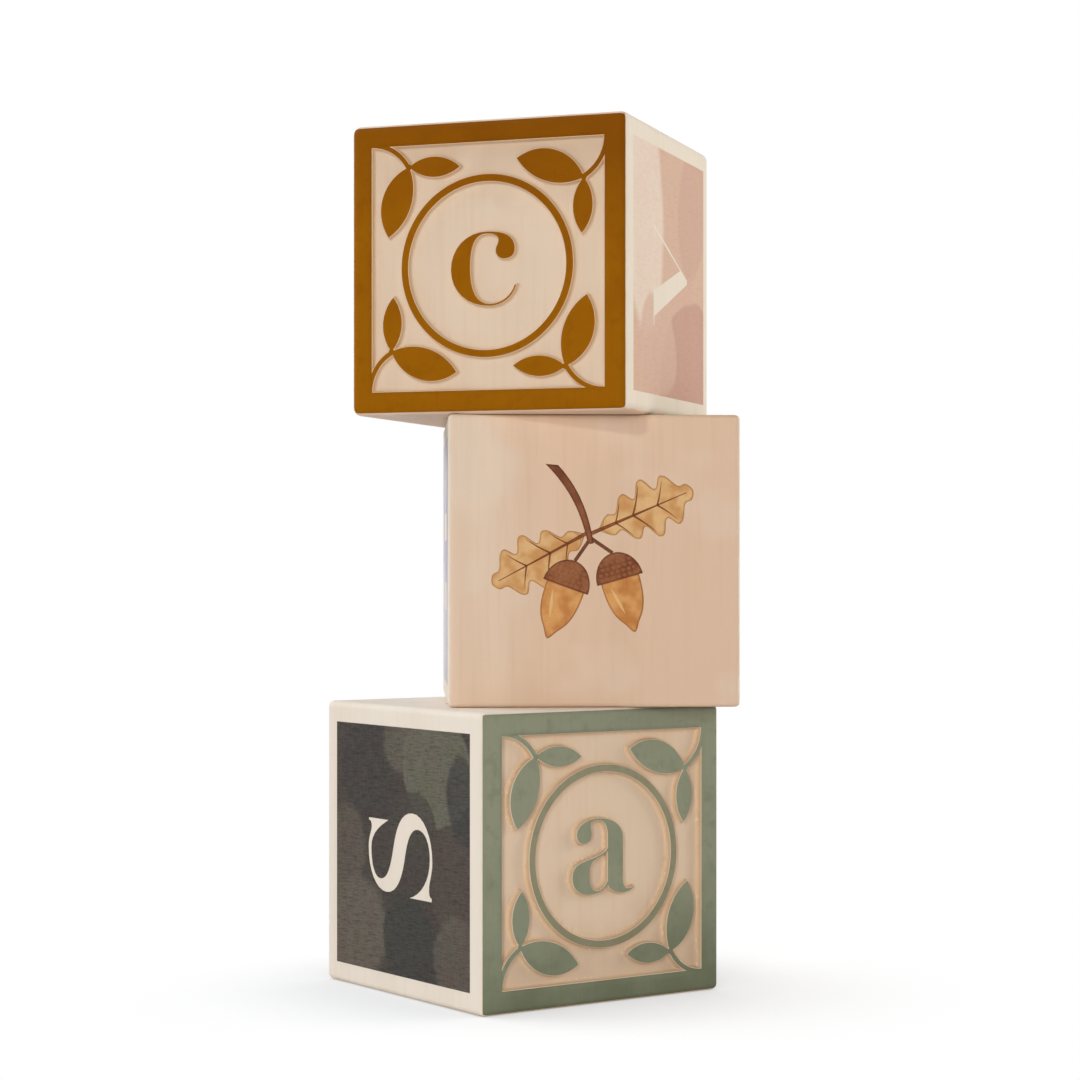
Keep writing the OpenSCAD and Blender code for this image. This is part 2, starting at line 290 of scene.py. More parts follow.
class ShapeTree(Tree):
    """A tree of Geometry Nodes with named inputs."""

    def __init__(self, name: str, inputs: dict[str, str]) -> None:
        """Starts the tree.

        Args:
            name: The tree's name.
            inputs: The kind of each input that follows the geometry, by name.
        """
        group = bpy.data.node_groups.new(name, "GeometryNodeTree")
        super().__init__(group)
        named = {"Geometry": "Geometry", **inputs}
        for key, kind in named.items():
            group.interface.new_socket(key, in_out="INPUT", socket_type=f"NodeSocket{kind}")
        group.interface.new_socket("Geometry", in_out="OUTPUT", socket_type="NodeSocketGeometry")
        node = self.add("NodeGroupInput")
        self.given = {key: self.wire(node, key) for key in named}

    def shape_of(self, key: str) -> Wire:
        """The mesh of the object that is given for an input."""
        node = self.add("GeometryNodeObjectInfo", {"Object": self.given[key]})
        return self.wire(node, "Geometry")

    def ended(self, shape: bpy.types.Node) -> bpy.types.NodeTree:
        """Ends the tree with one plain mesh."""
        for kind in ("GeometryNodeRealizeInstances", "GeometryNodeSetMaterial", "NodeGroupOutput"):
            shape = self.add(kind, {"Geometry": shape})
        return self.tree


# Places


class Side(Enum):
    """A face of a block, with the turn that carries the plane z = 0 to it, in degrees."""

    FRONT = (90, 0, 0)
    RIGHT = (90, 0, 90)
    BACK = (90, 0, 180)
    LEFT = (90, 0, 270)
    TOP = (0, 0, 0)
    UNDER = (180, 0, 0)

    @property
    def word(self) -> str:
        """The face's name in the names of nodes."""
        return self.name.lower()

    @property
    def turn(self) -> Matrix:
        """The turn as a matrix."""
        return Euler([math.radians(a) for a in self.value], "XYZ").to_matrix().to_4x4()


@dataclass(frozen=True)
class Placement:
    """Where a block stands, read from the frame.

    Attributes:
        centre: The middle of the block, in metres.
        turn: The block's turn about +Z, in radians.
        edge: The block's edge, in millimetres.
    """

    centre: Vector
    turn: float
    edge: float

    @classmethod
    def of(cls, block: str) -> Placement:
        """Reads a block's place from the boxes of its two square panels.

        Args:
            block: The block's name.

        Returns:
            Its placement.
        """
        ends = (sum(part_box(f"{block}_{side}_panel"), Vector()) / 2 for side in ("left", "right"))
        left, right = ends
        across = right - left
        edge = round(across.length / MM + PRINT_T, 2)
        return cls((left + right) / 2, math.atan2(across.y, across.x), edge)

    @property
    def block(self) -> Matrix:
        """Carries a shape in millimetres from the block's own centre to the stack."""
        turn = Matrix.Rotation(self.turn, 4, "Z")
        return Matrix.Translation(self.centre) @ turn @ Matrix.Diagonal((MM, MM, MM, 1))

    def face(self, side: Side) -> Matrix:
        """Carries a shape drawn flat on z = 0, in millimetres, to a face of the block."""
        return self.block @ side.turn @ Matrix.Translation((0, 0, self.edge / 2))


# Sizes that every block shares, in millimetres
EDGE_ROUND = 1.0
BORDER_W = 3.5
RELIEF_DEPTH = 1.0
RING_INNER = 12.725
RING_W = 1.05
PRINT_T = 0.05
INK_T = 0.07
PICTURE_W = 30.0
# The wood lies this far under the outer face of the ink and the prints
WOOD_INSET = 0.015


# Finishes


@dataclass(frozen=True)
class Coat:
    """A colour that shows where a pattern is strong.

    Attributes:
        pattern: The pattern's name.
        low: The pattern's value where the colour starts to show.
        high: Its value where the colour shows in full, which may be the smaller.
        share: How much of the colour shows there, from 0 to 1.
        colour: What the finish calls the colour.
    """

    pattern: str
    low: float
    high: float
    share: float
    colour: str


class Skin(Tree):
    """A material whose patterns lie in a block's or a face's own millimetres."""

    def __init__(
        self, name: str, home: Matrix, patterns: dict[str, tuple], carried: Sequence[str] = ()
    ) -> None:
        """Starts the material.

        Args:
            name: The material's name.
            home: Carries the own place to the stack.
            patterns: The scale, detail and roughness of each random pattern.
            carried: The values that the mesh carries on its points.
        """
        self.material = bpy.data.materials.new(name)
        super().__init__(Tree.of(self.material).tree)
        back = home.inverted()
        inputs = {
            "Vector": self.wire(self.add("ShaderNodeTexCoord"), "Object"),
            "Location": back.to_translation(),
            "Rotation": back.to_euler("XYZ"),
            "Scale": back.to_scale(),
        }
        self.place = self.wire(self.add("ShaderNodeMapping", inputs, vector_type="POINT"))
        self.masks = {key: self.noise(self.place, *row) for key, row in patterns.items()}
        for key in carried:
            settings = {"attribute_type": "GEOMETRY", "attribute_name": key}
            self.masks[key] = self.wire(self.add("ShaderNodeAttribute", **settings), "Fac")

    def coated(
        self,
        colour: Any,
        coats: Iterable[Coat],
        finish: Any,
        strength: Wire | float = 1.0,
        blend: str = "MIX",
    ) -> Wire:
        """Lays coats over a colour.

        Args:
            colour: The colour underneath.
            coats: The coats, the lowest first.
            finish: The finish whose colours they have.
            strength: How strongly all of them show.
            blend: How each acts on what is underneath.

        Returns:
            The colour over the surface.
        """
        for coat in coats:
            rise = self.step(self.masks[coat.pattern], coat.low, coat.high)
            share = rise * (coat.share * strength)
            colour = self.mix(share, colour, getattr(finish, coat.colour), blend)
        return colour

    def ended(
        self, colour: Wire, rough: Wire, relief: Wire, height: float, gloss: float
    ) -> bpy.types.Material:
        """Ends the material with its shader.

        Args:
            colour: The colour over the surface.
            rough: The roughness over the surface.
            relief: The fine height over the surface, about 0 to 1.
            height: What a relief of 1 stands for, in millimetres.
            gloss: How much of a plain gloss the surface has, from 0 to 1.

        Returns:
            The material.
        """
        bump = self.add(
            "ShaderNodeBump", {"Strength": 1.0, "Distance": height * MM, "Height": relief}
        )
        inputs = {
            "Base Color": colour,
            "Roughness": rough,
            "Normal": bump,
            "Specular IOR Level": gloss,
        }
        shader = self.add("ShaderNodeBsdfPrincipled", inputs)
        self.add("ShaderNodeOutputMaterial", {"Surface": shader})
        return self.material


@dataclass(frozen=True)
class Basswood:
    """Bare sanded basswood, with a browner carved ground and painted shade beside and at the foot
    of its carved walls.

    Attributes:
        sanded: The colour of the sanded faces.
        heart: Their darker, oranger colour toward the block's +x side.
        pale: The colour of the paler faces that carry a panel.
        streak: The colour of the darker grain.
        ground: The colour of the carved ground.
        warm: The browner colour of a browned ground, and of the painted shade on the ground nearer
            to a carved wall.
        dull: The colour of the ground toward the face's darker side.
        wall: The colour of the walls that lead down to the ground. It is warmer than the ground:
            partly the cut wood's colour, partly painted light and shade, so that walls in shade
            look tan.
        stain: The colour of the walls where they are browned, a brown stain with painted shade in
            it.
        scorch: The brown of the pores, and the painted shade at the foot of a carved wall, which is
            partly scorch.
        fleck: The light torn fibres beside a carved wall.
    """

    sanded: Colour = (0.88, 0.785, 0.70)
    heart: Colour = (0.862, 0.745, 0.65)
    pale: Colour = (0.897, 0.855, 0.80)
    streak: Colour = (0.79, 0.665, 0.545)
    ground: Colour = (0.863, 0.784, 0.703)
    warm: Colour = (0.84, 0.715, 0.575)
    dull: Colour = (0.79, 0.695, 0.60)
    wall: Colour = (0.87, 0.69, 0.45)
    stain: Colour = (0.74, 0.67, 0.57)
    scorch: Colour = (0.70, 0.57, 0.44)
    fleck: Colour = (0.95, 0.88, 0.75)

    PATTERNS = {
        "bands": ((0.20, 0.20, 0.010), 2.0, 0.5),
        "grain": ((1.1, 1.1, 0.05), 3.0, 0.55),
        "fibre": ((8.0, 8.0, 0.45), 2.0, 0.6),
        "pore": ((5.0, 5.0, 1.6), 1.0, 0.5),
        "cloud": (0.07, 2.0, 0.5),
        "spots": (0.45, 3.0, 0.6),
        "patches": (0.16, 2.0, 0.5),
        "torn": ((3.0, 3.0, 1.3), 2.0, 0.5),
    }
    CARRIED = ("pale_face", "carved", "near_wall", "browned", "toward_dull")
    STREAKS = (
        Coat("bands", 0.40, 0.66, 0.22, "streak"),
        Coat("grain", 0.48, 0.74, 0.16, "streak"),
        Coat("fibre", 0.60, 0.80, 0.12, "streak"),
    )
    CLOUDS = (Coat("cloud", 0.50, 0.70, 0.25, "pale"),)
    GROUND = (
        Coat("browned", 0.3, 1.0, 0.2, "warm"),
        Coat("grain", 0.45, 0.75, 0.14, "streak"),
        # The coat nearer to a carved wall is painted shade
        Coat("shade_by_wall", 0.02, 0.75, 1.0, "warm"),
        Coat("dullness", 0.30, 0.95, 0.8, "dull"),
    )
    WALLS = (Coat("browned", 0.3, 1.0, 1.0, "stain"),)
    PORES = (Coat("pore", 0.68, 0.78, 0.10, "scorch"),)
    # How far from the block's middle, along its x, the oranger colour starts to show and shows in
    # full, in millimetres
    HEART = (-19.0, -3.0)
    # How much weaker the streaks are on a pale face
    SHYNESS = 0.55
    # The shares of the carving's depth between which the ground, a wall and its foot show
    IN_GROUND = (0.10, 0.60)
    ON_WALL = ((0.02, 0.25), (1.0, 0.80))
    AT_FOOT = (0.25, 0.9)
    WALL_SHARE = 0.85
    # The painted shade at a wall's foot, which is partly scorch: how near it is to the wall, in
    # what spots, and how strong
    SCORCH_NEAR = (0.40, 0.80)
    SCORCH_SPOTS = (0.46, 0.60)
    SCORCH = (0.02, 0.46)
    # The torn fibres: in what two patterns, how near to the wall, how deep, and how strong
    TORN = (0.56, 0.64)
    TORN_PATCHES = (0.47, 0.56)
    TORN_NEAR = (0.12, 0.45)
    TORN_DEPTH = (0.90, 0.99)
    TORN_SHARE = 0.5

    def material(self, name: str, block: Matrix) -> bpy.types.Material:
        """Builds the wood of one block.

        Args:
            name: The material's name.
            block: Carries the block's own place, in millimetres, to the stack.

        Returns:
            The material.
        """
        skin = Skin(name, block, self.PATTERNS, self.CARRIED)
        masks, step, mix = skin.masks, skin.step, skin.mix
        grain, spots, patches = masks["grain"], masks["spots"], masks["patches"]
        pale, carved, near = masks["pale_face"], masks["carved"], masks["near_wall"]
        # Where the ground gets painted shade beside the carved walls
        masks["shade_by_wall"] = near + 0.5 * (spots - 0.5)
        masks["dullness"] = masks["toward_dull"] + 0.9 * (patches - 0.5)
        side = skin.parts(skin.place)[0] + 8 * (masks["cloud"] - 0.5)
        sanded = mix(step(side, *self.HEART), self.sanded, self.heart)
        colour = mix(pale, sanded, self.pale)
        colour = skin.coated(colour, self.STREAKS, self, 1 - self.SHYNESS * pale)
        colour = skin.coated(colour, self.CLOUDS, self)
        colour = mix(
            step(carved, *self.IN_GROUND), colour, skin.coated(self.ground, self.GROUND, self)
        )
        # The walls get their own tint, partly painted light and shade
        top, bottom = (step(carved, *span) for span in self.ON_WALL)
        wall = top * bottom * self.WALL_SHARE
        colour = mix(wall, colour, skin.coated(self.wall, self.WALLS, self))
        # Painted shade at the foot of each carved wall, partly scorch, stronger in spots
        foot = step(near, *self.SCORCH_NEAR) * step(carved, *self.AT_FOOT)
        even, spotted = self.SCORCH
        foot_shading = foot * (even + spotted * step(spots * 0.5 + patches * 0.5, *self.SCORCH_SPOTS))
        colour = mix(foot_shading, colour, self.scorch)
        tufts = step(masks["torn"], *self.TORN) * step(patches, *self.TORN_PATCHES)
        fuzz = tufts * step(near, *self.TORN_NEAR) * step(carved, *self.TORN_DEPTH)
        colour = mix(fuzz * self.TORN_SHARE, colour, self.fleck)
        colour = skin.coated(colour, self.PORES, self)
        relief = grain * 0.35 + masks["fibre"] * 0.25 + fuzz * 0.5 + spots * carved * 0.6
        return skin.ended(colour, 0.64 + 0.12 * grain, relief, height=0.05, gloss=0.22)


@dataclass(frozen=True)
class Ink:
    """Ink rolled on the raised wood, so that the grain shows through it.

    Attributes:
        body: The colour where the ink lies evenly.
        thin: The colour where it lies thinner.
        deep: The colour where it gathers.
        ring: How much of the wood's brown shows through the thin ring, from 0 to 1.
    """

    body: Colour
    thin: Colour
    deep: Colour
    ring: float = 0.0

    WORN = (0.60, 0.47, 0.30)
    # How far from the middle of the ring's line the wood shows through, in millimetres
    ON_RING = (0.80, 0.60)
    PATTERNS = {
        "cloud": (0.09, 3.0, 0.55),
        "patch": (0.42, 3.0, 0.6),
        "grain": ((2.2, 0.12, 2.2), 4.0, 0.62),
        "cross": ((0.5, 5.5, 1.0), 3.0, 0.6),
        "speck": ((6.0, 3.0, 6.0), 2.0, 0.5),
    }
    POOLS = (
        Coat("thinness", 0.36, 0.62, 0.80, "thin"),
        Coat("depth", 0.35, 1.05, 0.85, "deep"),
        Coat("patch", 0.50, 0.72, 0.30, "deep"),
    )
    THREADS = (
        Coat("past_edge", -1.1, 0.0, 0.18, "deep"),
        Coat("grain", 0.52, 0.76, 0.22, "deep"),
        Coat("cross", 0.60, 0.78, 0.16, "deep"),
        Coat("speck", 0.62, 0.76, 0.22, "deep"),
        Coat("speck", 0.36, 0.24, 0.20, "thin"),
    )

    def material(self, name: str, face: Matrix, thick: Point, edge: float) -> bpy.types.Material:
        """Builds the ink of one face.

        Args:
            name: The material's name.
            face: Carries the face's own place, in millimetres, to the stack.
            thick: The direction in which the ink lies thicker, 1 or less long.
            edge: The block's edge, in millimetres.

        Returns:
            The material.
        """
        skin = Skin(name, face, self.PATTERNS)
        masks = skin.masks
        x, y = skin.parts(skin.place)
        rise = (x * thick[0] + y * thick[1]) / (edge / 2)
        off_ring = abs(skin.math("SQRT", x * x + y * y) - (RING_INNER + RING_W / 2))
        masks["thinness"] = masks["cloud"] - 0.25 * rise
        masks["depth"] = rise + 1.2 * (masks["cloud"] - 0.5)
        masks["past_edge"] = abs(x).largest(abs(y)) - edge / 2
        colour = skin.coated(self.body, self.POOLS, self)
        colour = skin.mix(skin.step(off_ring, *self.ON_RING) * self.ring, colour, self.WORN)
        colour = skin.coated(colour, self.THREADS, self)
        grain = masks["grain"]
        relief = grain * 0.5 + masks["speck"] * 0.35 + masks["cross"] * 0.25
        return skin.ended(colour, 0.60 + 0.14 * grain, relief, height=0.045, gloss=0.05)


@dataclass(frozen=True)
class Blot:
    """One soft round of the pattern behind a capital.

    Attributes:
        centre: Its middle on the face, in millimetres.
        radii: Its half width and half height, in millimetres.
        lean: Its turn, in degrees.
        colour: Its colour.
        share: How much of the print under it is covered.
        blur: How soft its rim is, as a share of its size.
    """

    centre: Point
    radii: Point
    lean: float
    colour: Colour
    share: float
    blur: float = 0.08


@dataclass(frozen=True)
class Print:
    """A print of overlapping soft rounds on flat wood.

    Attributes:
        base: The colour of the print.
        blots: The rounds that lie over it.
        shade: What the fine dark threads do to the colour under them.
        glint: What the fine pale threads add to it.
        weave: How strongly the fine threads show.
        drift: How much the print drifts towards brown and towards olive.
    """

    base: Colour
    blots: tuple[Blot, ...]
    shade: Colour
    glint: Colour
    weave: float
    drift: float = 0.0

    BROWN = (1.0, 0.91, 0.90)
    OLIVE = (0.97, 1.0, 0.88)
    PATTERNS = {
        "wander": (0.09, 1.0, 0.5),
        "ragged": (1.1, 2.0, 0.5),
        "weft": ((0.50, 4.6, 1.0), 3.0, 0.62),
        "warp": ((4.8, 0.55, 1.0), 3.0, 0.62),
        "slub": ((0.17, 1.7, 1.0), 2.0, 0.6),
        "mottle": (1.3, 3.0, 0.6),
        "cloud": (0.15, 3.0, 0.6),
    }
    DRIFTS = (Coat("cloud", 0.50, 0.60, 1.0, "BROWN"), Coat("cloud", 0.50, 0.40, 1.0, "OLIVE"))
    SHADES = (
        Coat("weft", 0.48, 0.64, 1.0, "shade"),
        Coat("slub", 0.54, 0.70, 0.7, "shade"),
        Coat("mottle", 0.50, 0.68, 0.5, "shade"),
    )
    GLINTS = (Coat("warp", 0.50, 0.68, 0.8, "glint"), Coat("weft", 0.44, 0.30, 1.0, "glint"))

    def material(self, name: str, face: Matrix) -> bpy.types.Material:
        """Builds the print of one face.

        Args:
            name: The material's name.
            face: Carries the face's own place, in millimetres, to the stack.

        Returns:
            The material.
        """
        skin = Skin(name, face, self.PATTERNS)
        masks = skin.masks
        wander = 2.0 * (masks["wander"] - 0.5)
        ragged = 0.10 * (masks["ragged"] - 0.5)
        x, y = skin.parts(skin.place)
        x, y = x + wander, y - wander
        colour: Any = self.base
        for blot in self.blots:
            lean = math.radians(blot.lean)
            cos, sin = math.cos(lean), math.sin(lean)
            right, up = x - blot.centre[0], y - blot.centre[1]
            along = (right * cos + up * sin) / blot.radii[0]
            across = (up * cos - right * sin) / blot.radii[1]
            reach = along * along + across * across + ragged
            inside = skin.step(reach, 1 + blot.blur, 1 - blot.blur)
            colour = skin.mix(inside * blot.share, colour, blot.colour)
        colour = skin.coated(colour, self.DRIFTS, self, self.drift, "MULTIPLY")
        colour = skin.coated(colour, self.SHADES, self, self.weave, "MULTIPLY")
        colour = skin.coated(colour, self.GLINTS, self, self.weave, "SCREEN")
        mottle = masks["mottle"]
        relief = masks["weft"] * 0.8 + masks["warp"] * 0.5 + mottle * 0.3
        return skin.ended(
            colour, 0.62 + 0.16 * mottle, relief, height=0.10 * self.weave, gloss=0.12
        )


@dataclass(frozen=True)
class Wash:
    """Water colour printed on bare wood, darker where it dried at the rim.

    Attributes:
        light: The colour where the wash is thin.
        full: The colour where it is full.
        rim: The colour at the rim.
    """

    light: Colour
    full: Colour
    rim: Colour

    PATTERNS = {
        "pool": (0.28, 2.0, 0.5),
        "grit": (2.6, 3.0, 0.6),
        "grain": ((4.0, 0.2, 1.0), 3.0, 0.6),
    }
    COATS = (
        Coat("pool", 0.38, 0.64, 1.0, "full"),
        Coat("grit", 0.5, 0.7, 0.25, "full"),
        Coat("edge_gap", 0.32, 0.05, 0.7, "rim"),
        Coat("grain", 0.5, 0.75, 0.22, "light"),
    )

    def material(self, name: str, face: Matrix) -> bpy.types.Material:
        """Builds the wash of one face.

        Args:
            name: The material's name.
            face: Carries the face's own place, in millimetres, to the stack.

        Returns:
            The material.
        """
        skin = Skin(name, face, self.PATTERNS, ("edge_gap",))
        masks = skin.masks
        masks["edge_gap"] += 0.3 * (masks["pool"] - 0.5)
        colour = skin.coated(self.light, self.COATS, self)
        relief = masks["grain"] * 0.6 + masks["grit"] * 0.2
        return skin.ended(colour, 0.6 + 0.12 * masks["grit"], relief, height=0.03, gloss=0.15)


MUSTARD = Ink((0.555, 0.33, 0.0), (0.59, 0.365, 0.0), (0.495, 0.28, 0.0))
SAGE = Ink((0.52, 0.54, 0.46), (0.555, 0.57, 0.49), (0.40, 0.425, 0.34), 0.2)
CLAY = Ink((0.68, 0.43, 0.33), (0.73, 0.48, 0.38), (0.59, 0.35, 0.26))

CHARCOAL = Print(
    (0.28, 0.255, 0.237),
    (
        Blot((-13, -13), (9, 8), 30, (0.42, 0.385, 0.35), 0.7, 0.25),
        Blot((10, 13), (9.5, 8.5), -12, (0.41, 0.40, 0.35), 0.85),
        Blot((-9, 12), (8, 8.5), 24, (0.26, 0.245, 0.235), 0.9),
        Blot((14, -3), (6.5, 8), 10, (0.32, 0.285, 0.265), 0.85, 0.2),
        Blot((3, -14), (8.5, 7), -28, (0.25, 0.245, 0.235), 0.9),
        Blot((-16, -1), (5.5, 7), -14, (0.375, 0.345, 0.31), 0.7, 0.3),
        Blot((16, -15), (7, 6.5), 0, (0.38, 0.355, 0.32), 0.7, 0.2),
        Blot((0, 17), (5, 5), 0, (0.40, 0.375, 0.335), 0.7, 0.3),
        Blot((3, 3), (7, 6), 35, (0.285, 0.265, 0.25), 0.8),
        Blot((17, 9), (4, 7), 12, (0.25, 0.245, 0.24), 0.8, 0.2),
    ),
    (0.76, 0.75, 0.76),
    (0.17, 0.165, 0.15),
    0.66,
    0.35,
)
ROSE = Print(
    (0.835, 0.70, 0.625),
    (
        Blot((-14, 9), (10, 19), 8, (0.90, 0.83, 0.775), 0.92, 0.2),
        Blot((10, -14), (16, 10), 16, (0.77, 0.605, 0.545), 0.85),
        Blot((13, 12), (8, 12), -20, (0.80, 0.655, 0.59), 0.7, 0.15),
        Blot((-6, -11), (10, 7), -24, (0.835, 0.70, 0.635), 0.8, 0.15),
    ),
    (0.94, 0.91, 0.90),
    (0.18, 0.18, 0.18),
    0.32,
    0.15,
)
LILAC = Print(
    (0.80, 0.775, 0.80),
    (
        Blot((-11, -10), (12, 10), 20, (0.86, 0.84, 0.855), 0.85),
        Blot((12, 9), (10, 14), -15, (0.73, 0.70, 0.735), 0.75),
        Blot((2, 15), (14, 7), 10, (0.84, 0.815, 0.83), 0.7, 0.2),
    ),
    (0.93, 0.92, 0.93),
    (0.20, 0.20, 0.20),
    0.45,
    0.1,
)
STONE = Print(
    (0.60, 0.58, 0.53),
    (
        Blot((-12, 11), (12, 9), -18, (0.685, 0.665, 0.61), 0.85),
        Blot((11, -9), (11, 13), 22, (0.525, 0.51, 0.465), 0.8, 0.15),
        Blot((-9, -12), (9, 10), 0, (0.64, 0.605, 0.55), 0.75, 0.25),
    ),
    (0.88, 0.87, 0.86),
    (0.20, 0.20, 0.19),
    0.6,
    0.4,
)

LEAF_WASH = Wash((0.86, 0.70, 0.50), (0.775, 0.565, 0.345), (0.69, 0.47, 0.27))
VEIN_WASH = Wash((0.64, 0.40, 0.24), (0.53, 0.30, 0.18), (0.46, 0.25, 0.15))
CUP_WASH = Wash((0.60, 0.38, 0.25), (0.46, 0.25, 0.16), (0.38, 0.19, 0.12))
SCALE_WASH = Wash((0.72, 0.50, 0.33), (0.62, 0.40, 0.26), (0.50, 0.29, 0.18))
NUT_WASH = Wash((0.84, 0.62, 0.38), (0.73, 0.47, 0.25), (0.58, 0.34, 0.18))
GLEAM_WASH = Wash((0.91, 0.74, 0.52), (0.88, 0.69, 0.46), (0.88, 0.69, 0.46))
TWIG_WASH = Wash((0.55, 0.34, 0.22), (0.43, 0.24, 0.16), (0.36, 0.19, 0.12))


# Meshes

# How near points lie that are made one, in metres: on large pieces, and on small ones
WELD = 1e-6
FINE_WELD = 1e-7


def numbers(rows: Any, key: str, width: int = 1, kind: type = float) -> np.ndarray:
    """Reads one property of all the parts of a mesh.

    Args:
        rows: The mesh's points, its triangles or the values of an attribute.
        key: The property.
        width: How many numbers each of them has.
        kind: The type of the numbers.

    Returns:
        The numbers, in rows where each part has more than one.
    """
    flat = np.zeros(len(rows) * width, kind)
    rows.foreach_get(key, flat)
    return flat.reshape(-1, width) if width > 1 else flat


@dataclass
class Sheet:
    """A triangulated patch or a set of them, as plain arrays.

    Attributes:
        points: Places of the points, one row each.
        faces: The points of each face, by number.
        values: Named values that the points carry.
    """

    points: np.ndarray
    faces: list[tuple[int, ...]]
    values: dict[str, np.ndarray] = field(default_factory=dict)

    @classmethod
    def read(cls, mesh: bpy.types.Mesh, keys: Sequence[str] = ()) -> Sheet:
        """Reads a mesh and the named values that it carries.

        Args:
            mesh: The mesh.
            keys: The names of the values.

        Returns:
            The same as plain arrays.
        """
        values = {key: numbers(mesh.attributes[key].data, "value", 1, np.float32) for key in keys}
        faces = [tuple(face.vertices) for face in mesh.polygons]
        return cls(numbers(mesh.vertices, "co", 3), faces, values)

    def placed(self, matrix: Matrix) -> Sheet:
        """Carries the patch by a matrix."""
        turn = np.array(matrix)
        return Sheet(self.points @ turn[:3, :3].T + turn[:3, 3], self.faces, self.values)

    def trimmed(self) -> Sheet:
        """Drops the points that no face uses.

        Returns:
            The patch without them.
        """
        used = sorted({i for face in self.faces for i in face})
        number = {old: new for new, old in enumerate(used)}
        faces = [tuple(number[i] for i in face) for face in self.faces]
        return Sheet(self.points[used], faces, {key: v[used] for key, v in self.values.items()})

    @staticmethod
    def joined(sheets: Sequence[Sheet]) -> Sheet:
        """Puts patches together.

        Args:
            sheets: The patches.

        Returns:
            One patch, with 0 for a value that one of them lacks.
        """
        names = sorted({name for sheet in sheets for name in sheet.values})
        faces: list[tuple[int, ...]] = []
        base = 0
        for sheet in sheets:
            faces += [tuple(base + i for i in face) for face in sheet.faces]
            base += len(sheet.points)
        values = {
            name: np.concatenate([s.values.get(name, np.zeros(len(s.points))) for s in sheets])
            for name in names
        }
        return Sheet(np.concatenate([s.points for s in sheets]), faces, values)

    def mesh(self, name: str, weld: float = 1e-6) -> bpy.types.Mesh:
        """Makes a smooth mesh, with points that lie together welded.

        Args:
            name: The mesh's name.
            weld: Points nearer than this are made one.

        Returns:
            The mesh.
        """
        mesh = bpy.data.meshes.new(name)
        mesh.from_pydata(self.points.tolist(), [], self.faces)
        for key, values in self.values.items():
            layer = mesh.attributes.new(key, "FLOAT", "POINT")
            layer.data.foreach_set("value", values.astype(np.float32))
        shell = bmesh.new()
        shell.from_mesh(mesh)
        bmesh.ops.remove_doubles(shell, verts=shell.verts, dist=weld)
        bmesh.ops.dissolve_degenerate(shell, edges=shell.edges, dist=weld / 10)
        shell.to_mesh(mesh)
        shell.free()
        mesh.shade_smooth()
        return mesh


def linked(name: str, mesh: bpy.types.Mesh) -> bpy.types.Object:
    """Puts a mesh in the scene as an object.

    Args:
        name: The object's name.
        mesh: Its mesh.

    Returns:
        The object.
    """
    thing = bpy.data.objects.new(name, mesh)
    bpy.context.scene.collection.objects.link(thing)
    return thing


def finished(thing: bpy.types.Object) -> bpy.types.Object:
    """Turns an object and its modifiers into a plain mesh.

    Args:
        thing: The object, whose modifiers are used up.

    Returns:
        The same object.
    """
    graph = bpy.context.evaluated_depsgraph_get()
    mesh = bpy.data.meshes.new_from_object(thing.evaluated_get(graph))
    old = thing.data
    mesh.name = thing.name
    thing.modifiers.clear()
    thing.data = mesh
    bpy.data.meshes.remove(old)
    return thing


def drawn(name: str, points: Any, edges: Any = (), faces: Any = ()) -> bpy.types.Object:
    """Makes a helper object of plain points, edges and faces.

    Args:
        name: The object's name.
        points: The places of its points.
        edges: Its bare edges, by point.
        faces: Its faces, by point.

    Returns:
        The object.
    """
    mesh = bpy.data.meshes.new(name)
    mesh.from_pydata([tuple(p) for p in points], edges, faces)
    return linked(name, mesh)


def shaped(
    thing: bpy.types.Object,
    tree: bpy.types.NodeTree,
    inputs: dict[str, Any],
    keys: Sequence[str] = (),
) -> Sheet:
    """Runs a shape tree on a helper object, and removes the helpers.

    Args:
        thing: The object.
        tree: The tree.
        inputs: The tree's inputs by name. An object among them is a helper too.
        keys: The names of the values that the result carries.

    Returns:
        What the tree makes.
    """
    modifier = thing.modifiers.new(tree.name, "NODES")
    modifier.node_group = tree
    for item in tree.interface.items_tree:
        if item.item_type == "SOCKET" and item.in_out == "INPUT" and item.name in inputs:
            modifier[item.identifier] = inputs[item.name]
    sheet = Sheet.read(finished(thing).data, keys)
    for helper in (thing, *inputs.values()):
        if isinstance(helper, bpy.types.Object):
            bpy.data.objects.remove(helper)
    return sheet


def add_piece(
    sheet: Sheet,
    name: str,
    material: bpy.types.Material,
    body: str,
    node: str = "",
    film: float = 0.0,
    weld: float = WELD,
) -> None:
    """Adds one piece to the stack, and reports it.

    Args:
        sheet: The piece's surface.
        name: The piece's name.
        material: Its finish.
        body: The frame's body that it rides on.
        node: The frame's node that it stands for, if any.
        film: The thickness that an open surface gets, in millimetres.
        weld: Points nearer than this, in metres, are made one.
    """
    piece = linked(name, sheet.mesh(name, weld))
    piece.data.materials.append(material)
    if film:
        walls = piece.modifiers.new("film", "SOLIDIFY")
        walls.thickness = film * MM
        walls.offset = -1
        walls.use_even_offset = True
        finished(piece)
    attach(piece, body)
    if node:
        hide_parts(node)
    log.info("%s: %d faces, on %s", name, len(piece.data.polygons), body)


